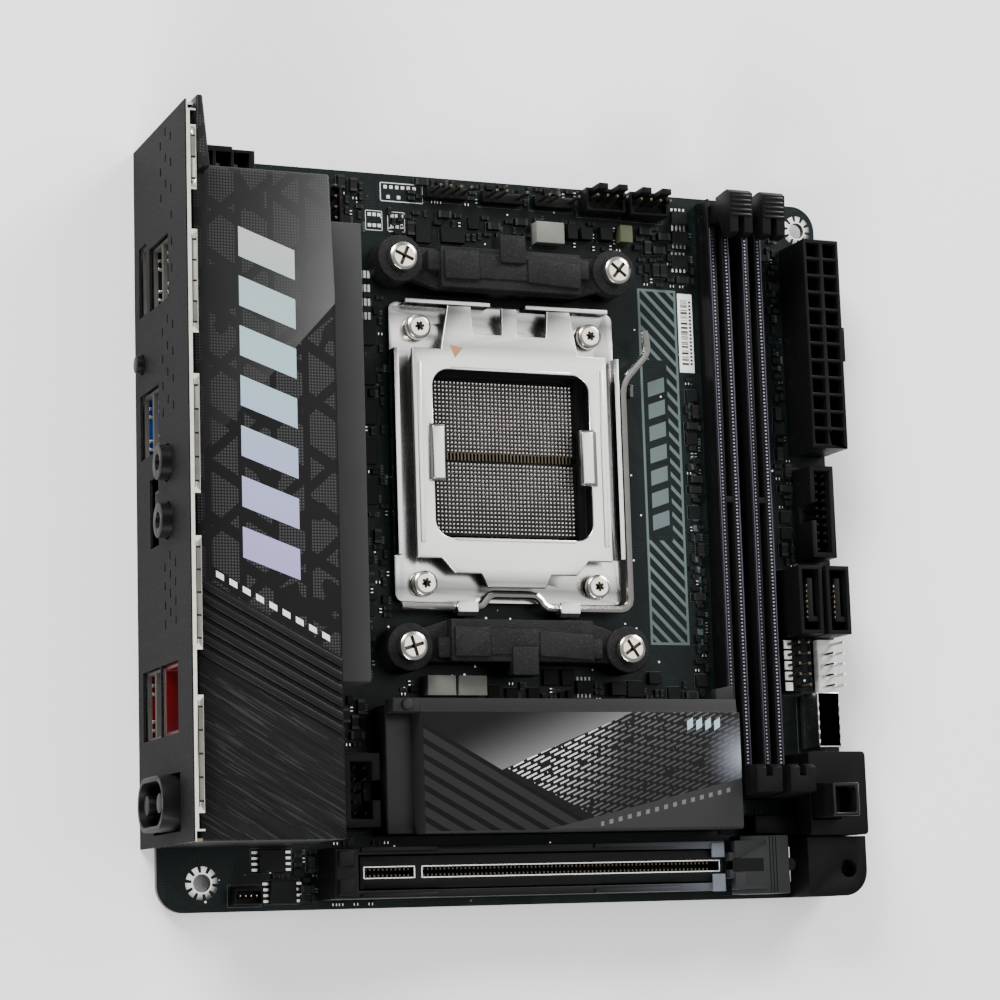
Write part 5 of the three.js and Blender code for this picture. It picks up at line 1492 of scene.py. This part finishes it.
# %% Chokes and chips with a place of their own
grey_chokes = [claim(-18.9, -35.3, 6.9, 4.6), claim(-11.3, -35.3, 6.9, 4.6)]
mount(stamp("front_chokes", block("choke", 6.9, 4.6, 4.0, FERRITE, 0.18, 2), grey_chokes))
back_place = [claim(12.1, 72.9, 7.2, 5.2)]
mount(stamp("back_choke", block("choke", 7.2, 5.2, 3.4, FERRITE, 0.18, 2), back_place))
olive_place = [claim(32.2, 74.1, 3.2, 4.2)]
mount(stamp("olive_choke", block("choke", 3.2, 4.2, 3.0, OLIVE_CASE, 0.15, 2), olive_place))
plain = [
    (-12.0, 71.0, 6.0, 3.6, 1.4), (18.3, 73.7, 2.6, 3.6, 2.6), (22.2, 73.7, 3.0, 3.2, 2.2),
    (27.3, 74.0, 3.2, 3.4, 2.4), (-19.3, 71.7, 4.0, 5.8, 0.9), (9.3, -33.0, 3.9, 3.9, 1.2),
    (13.6, -33.0, 3.2, 3.9, 1.2), (26.0, -35.7, 3.8, 3.2, 2.6), (31.0, -35.6, 4.4, 3.9, 0.9),
    (36.0, -33.0, 3.2, 2.9, 1.2),
]
plain += [(-34.2, 46.5 - 9.3 * number, 4.2, 6.0, 1.3) for number in range(5)]
stood = []
for x, y, length, width, height in plain:
    stood.append(stamp("chip", block("chip", length, width, height), [claim(x, y, length, width)]))
mount(together("plain_chips", stood))

# %% Chips with legs
edge_places = [claim(47.4, 79.6, 3.2, 4.4), claim(47.4, 74.6, 3.2, 4.4), claim(47.0, 68.6, 3.2, 4.4)]
edge_chip = legged_chip("chip", 4.2, 3.2, 1.3, 4, 1.05)
mount(stamp("drive_chips", edge_chip, edge_places))
claimed = [claim(-59.0, -74.1, 9.2, 5.2), claim(-56.6, -81.0, 7.4, 5.0)]
front_places = [(x, y, z, 90) for x, y, z, turn in claimed]
front_chip = legged_chip("chip", 5.0, 6.0, 1.5, 4, 1.27, PORT_STEEL, 1.5)
mount(stamp("front_chips", front_chip, front_places))
mid_chip = legged_chip("chip", 4.2, 3.0, 1.2, 4, 1.0, WHITE_INK)
mount(stamp("mid_chip", mid_chip, [claim(17.9, -35.2, 4.4, 4.6)]))
column = [claim(-33.9, 60.5 - 3.3 * number, 2.6, 1.4) for number in range(4)]
bars = [(x + step, y, 0, 0) for x, y, z, turn in column for step in (-0.9, 0, 0.9)]
mount(stamp("pad_bars", block("bar", 0.56, 1.7, 0.2, WHITE_INK, 0), bars))

# %% Parts placed by lot
# name, length, width, height, body, caps (or None for a plain chip), count, seed
SMALL_PARTS = [
    ("large_capacitors", 3.2, 1.7, 1.5, CERAMIC, DULL_TIN, 46, 3),
    ("black_chips", 3.0, 3.0, 0.9, CHIP_BLACK, None, 34, 5),
    ("small_chips", 2.0, 1.3, 0.9, CHIP_BLACK, None, 40, 6),
    ("capacitors", 1.7, 0.9, 0.8, CERAMIC, DULL_TIN, 170, 7),
    ("resistors", 1.6, 0.85, 0.5, RESISTOR, DULL_TIN, 150, 8),
    ("tiny_parts", 1.0, 0.55, 0.4, RESISTOR, SOLDER, 150, 9),
]
for name, length, width, height, body, caps, count, seed in SMALL_PARTS:
    if caps:
        master = two_pin("part", length, width, height, body, caps)
    else:
        master = block("part", length, width, height, body)
    mount(stamp(name, master, scatter(length, width, count, seed)))

# %% [markdown]
# ## White print
# The white ink on a board marks outlines and polarity. Lines are thin raised strips, because ink has
# an edge that catches light and because an outline must sit exactly round its component. Where the
# real board has words there are only short dashes.

# %% Outlines and dashes
DIM_INK = moulded("dim_ink", (0.060, 0.072, 0.070), rough=0.5, grain=0.004, spread=0.2)
INK_TOP = 0.03


def outline(x0, x1, y0, y1, line=0.14):
    """Four thin strips round a box."""
    strips = [
        (x0, x1, y0, y0 + line), (x0, x1, y1 - line, y1),
        (x0, x0 + line, y0, y1), (x1 - line, x1, y0, y1),
    ]
    return [slab("line", a, b, c, d, -0.01, INK_TOP, 0) for a, b, c, d in strips]


INK_LIMIT = 84.5
OUTLINED = {
    0.8: ("usb_header", "audio_header", "usb_c_header"),
    0.7: (
        "front_panel_header", "speaker_header", "led_header", "rgb_header_1", "rgb_header_2",
        "case_fan_header", "pump_fan_header", "processor_fan_header",
    ),
    0.6: ("port_fan_header", "drive_port_1", "drive_port_2"),
}
lines = []
for grow, named in OUTLINED.items():
    for node in named:
        x0, x1, y0, y1 = span(node)[:4]
        left, front = max(x0 - grow, -INK_LIMIT), max(y0 - grow, -INK_LIMIT)
        right, back = min(x1 + grow, INK_LIMIT), min(y1 + grow, INK_LIMIT)
        lines += outline(left, right, front, back)
mount(dress(together("component_outlines", lines), DIM_INK))
around = []
for x, y, half_x, half_y in taken:
    if half_x * half_y > 0.9:
        out_x, out_y = half_x + 0.22, half_y + 0.22
        around += outline(x - out_x, x + out_x, y - out_y, y + out_y, 0.1)
mount(dress(together("part_outlines", around), DIM_INK))
lot = random.Random(21)
words = []
for x, y, half_x, half_y in taken[::3]:
    for number in range(lot.choice((2, 3, 3, 4))):
        words.append((x + half_x + 0.75, y - half_y + 0.3 + number * 0.62, 0, 0))
words = [place for place in words if clear(place[0], place[1], 0.25, 0.25, 0.1)]
dash = dress(slab("dash", -0.32, 0.32, -0.19, 0.19, -0.01, INK_TOP, 0), DIM_INK)
mount(stamp("word_dashes", dash, words))

# %% Light pads and their frames
pads = [(-28.3 + 1.45 * column, 81.9, 0, 0) for column in range(6)]
pads += [(-27.6 + 2.6 * column, 79.5, 0, 0) for column in range(3)]
for left in (-32.4, -26.8):
    for number in range(6):
        pads.append((left + 1.2 * (number // 2), 75.0 - (number % 2) * 2.6, 0, 0))
mount(stamp("light_pads", block("pad", 0.84, 0.84, 0.12, WHITE_INK, 0.04), pads))
frames = outline(-29.6, -18.9, 78.4, 83.0, 0.2)
frames += outline(-33.4, -29.2, 71.2, 76.0) + outline(-27.9, -23.6, 71.2, 76.0)
mount(dress(together("pad_frames", frames), WHITE_INK))


# %% Label
def bar_label():
    """White paper with plain bars and a column of dashes, in place of a printed code."""
    paint = Finish("bar_label")
    x, y, z = paint.place()
    code = paint.noise(1.0, 4.0, paint.point(0.0, y * 1.9)) > 0.5
    long_way = y.between(43.0, 59.4)
    bars = code * x.between(47.1, 48.9) * long_way
    dashes = x.between(49.3, 49.9) * long_way * (y.repeat(0.9) < 0.6)
    ink = (bars + dashes).maths("MINIMUM", 1.0)
    return paint.surface(
        Base_Color=paint.mix(ink, (0.80, 0.80, 0.78), (0.02, 0.02, 0.02)),
        Roughness=0.5 + paint.noise(0.6) * 0.1,
        Specular_IOR_Level=0.2,
    )


label = slab("serial_label", 46.4, 50.3, 41.3, 60.8, 0, 0.1, 0.04)
mount(dress(label, bar_label()))
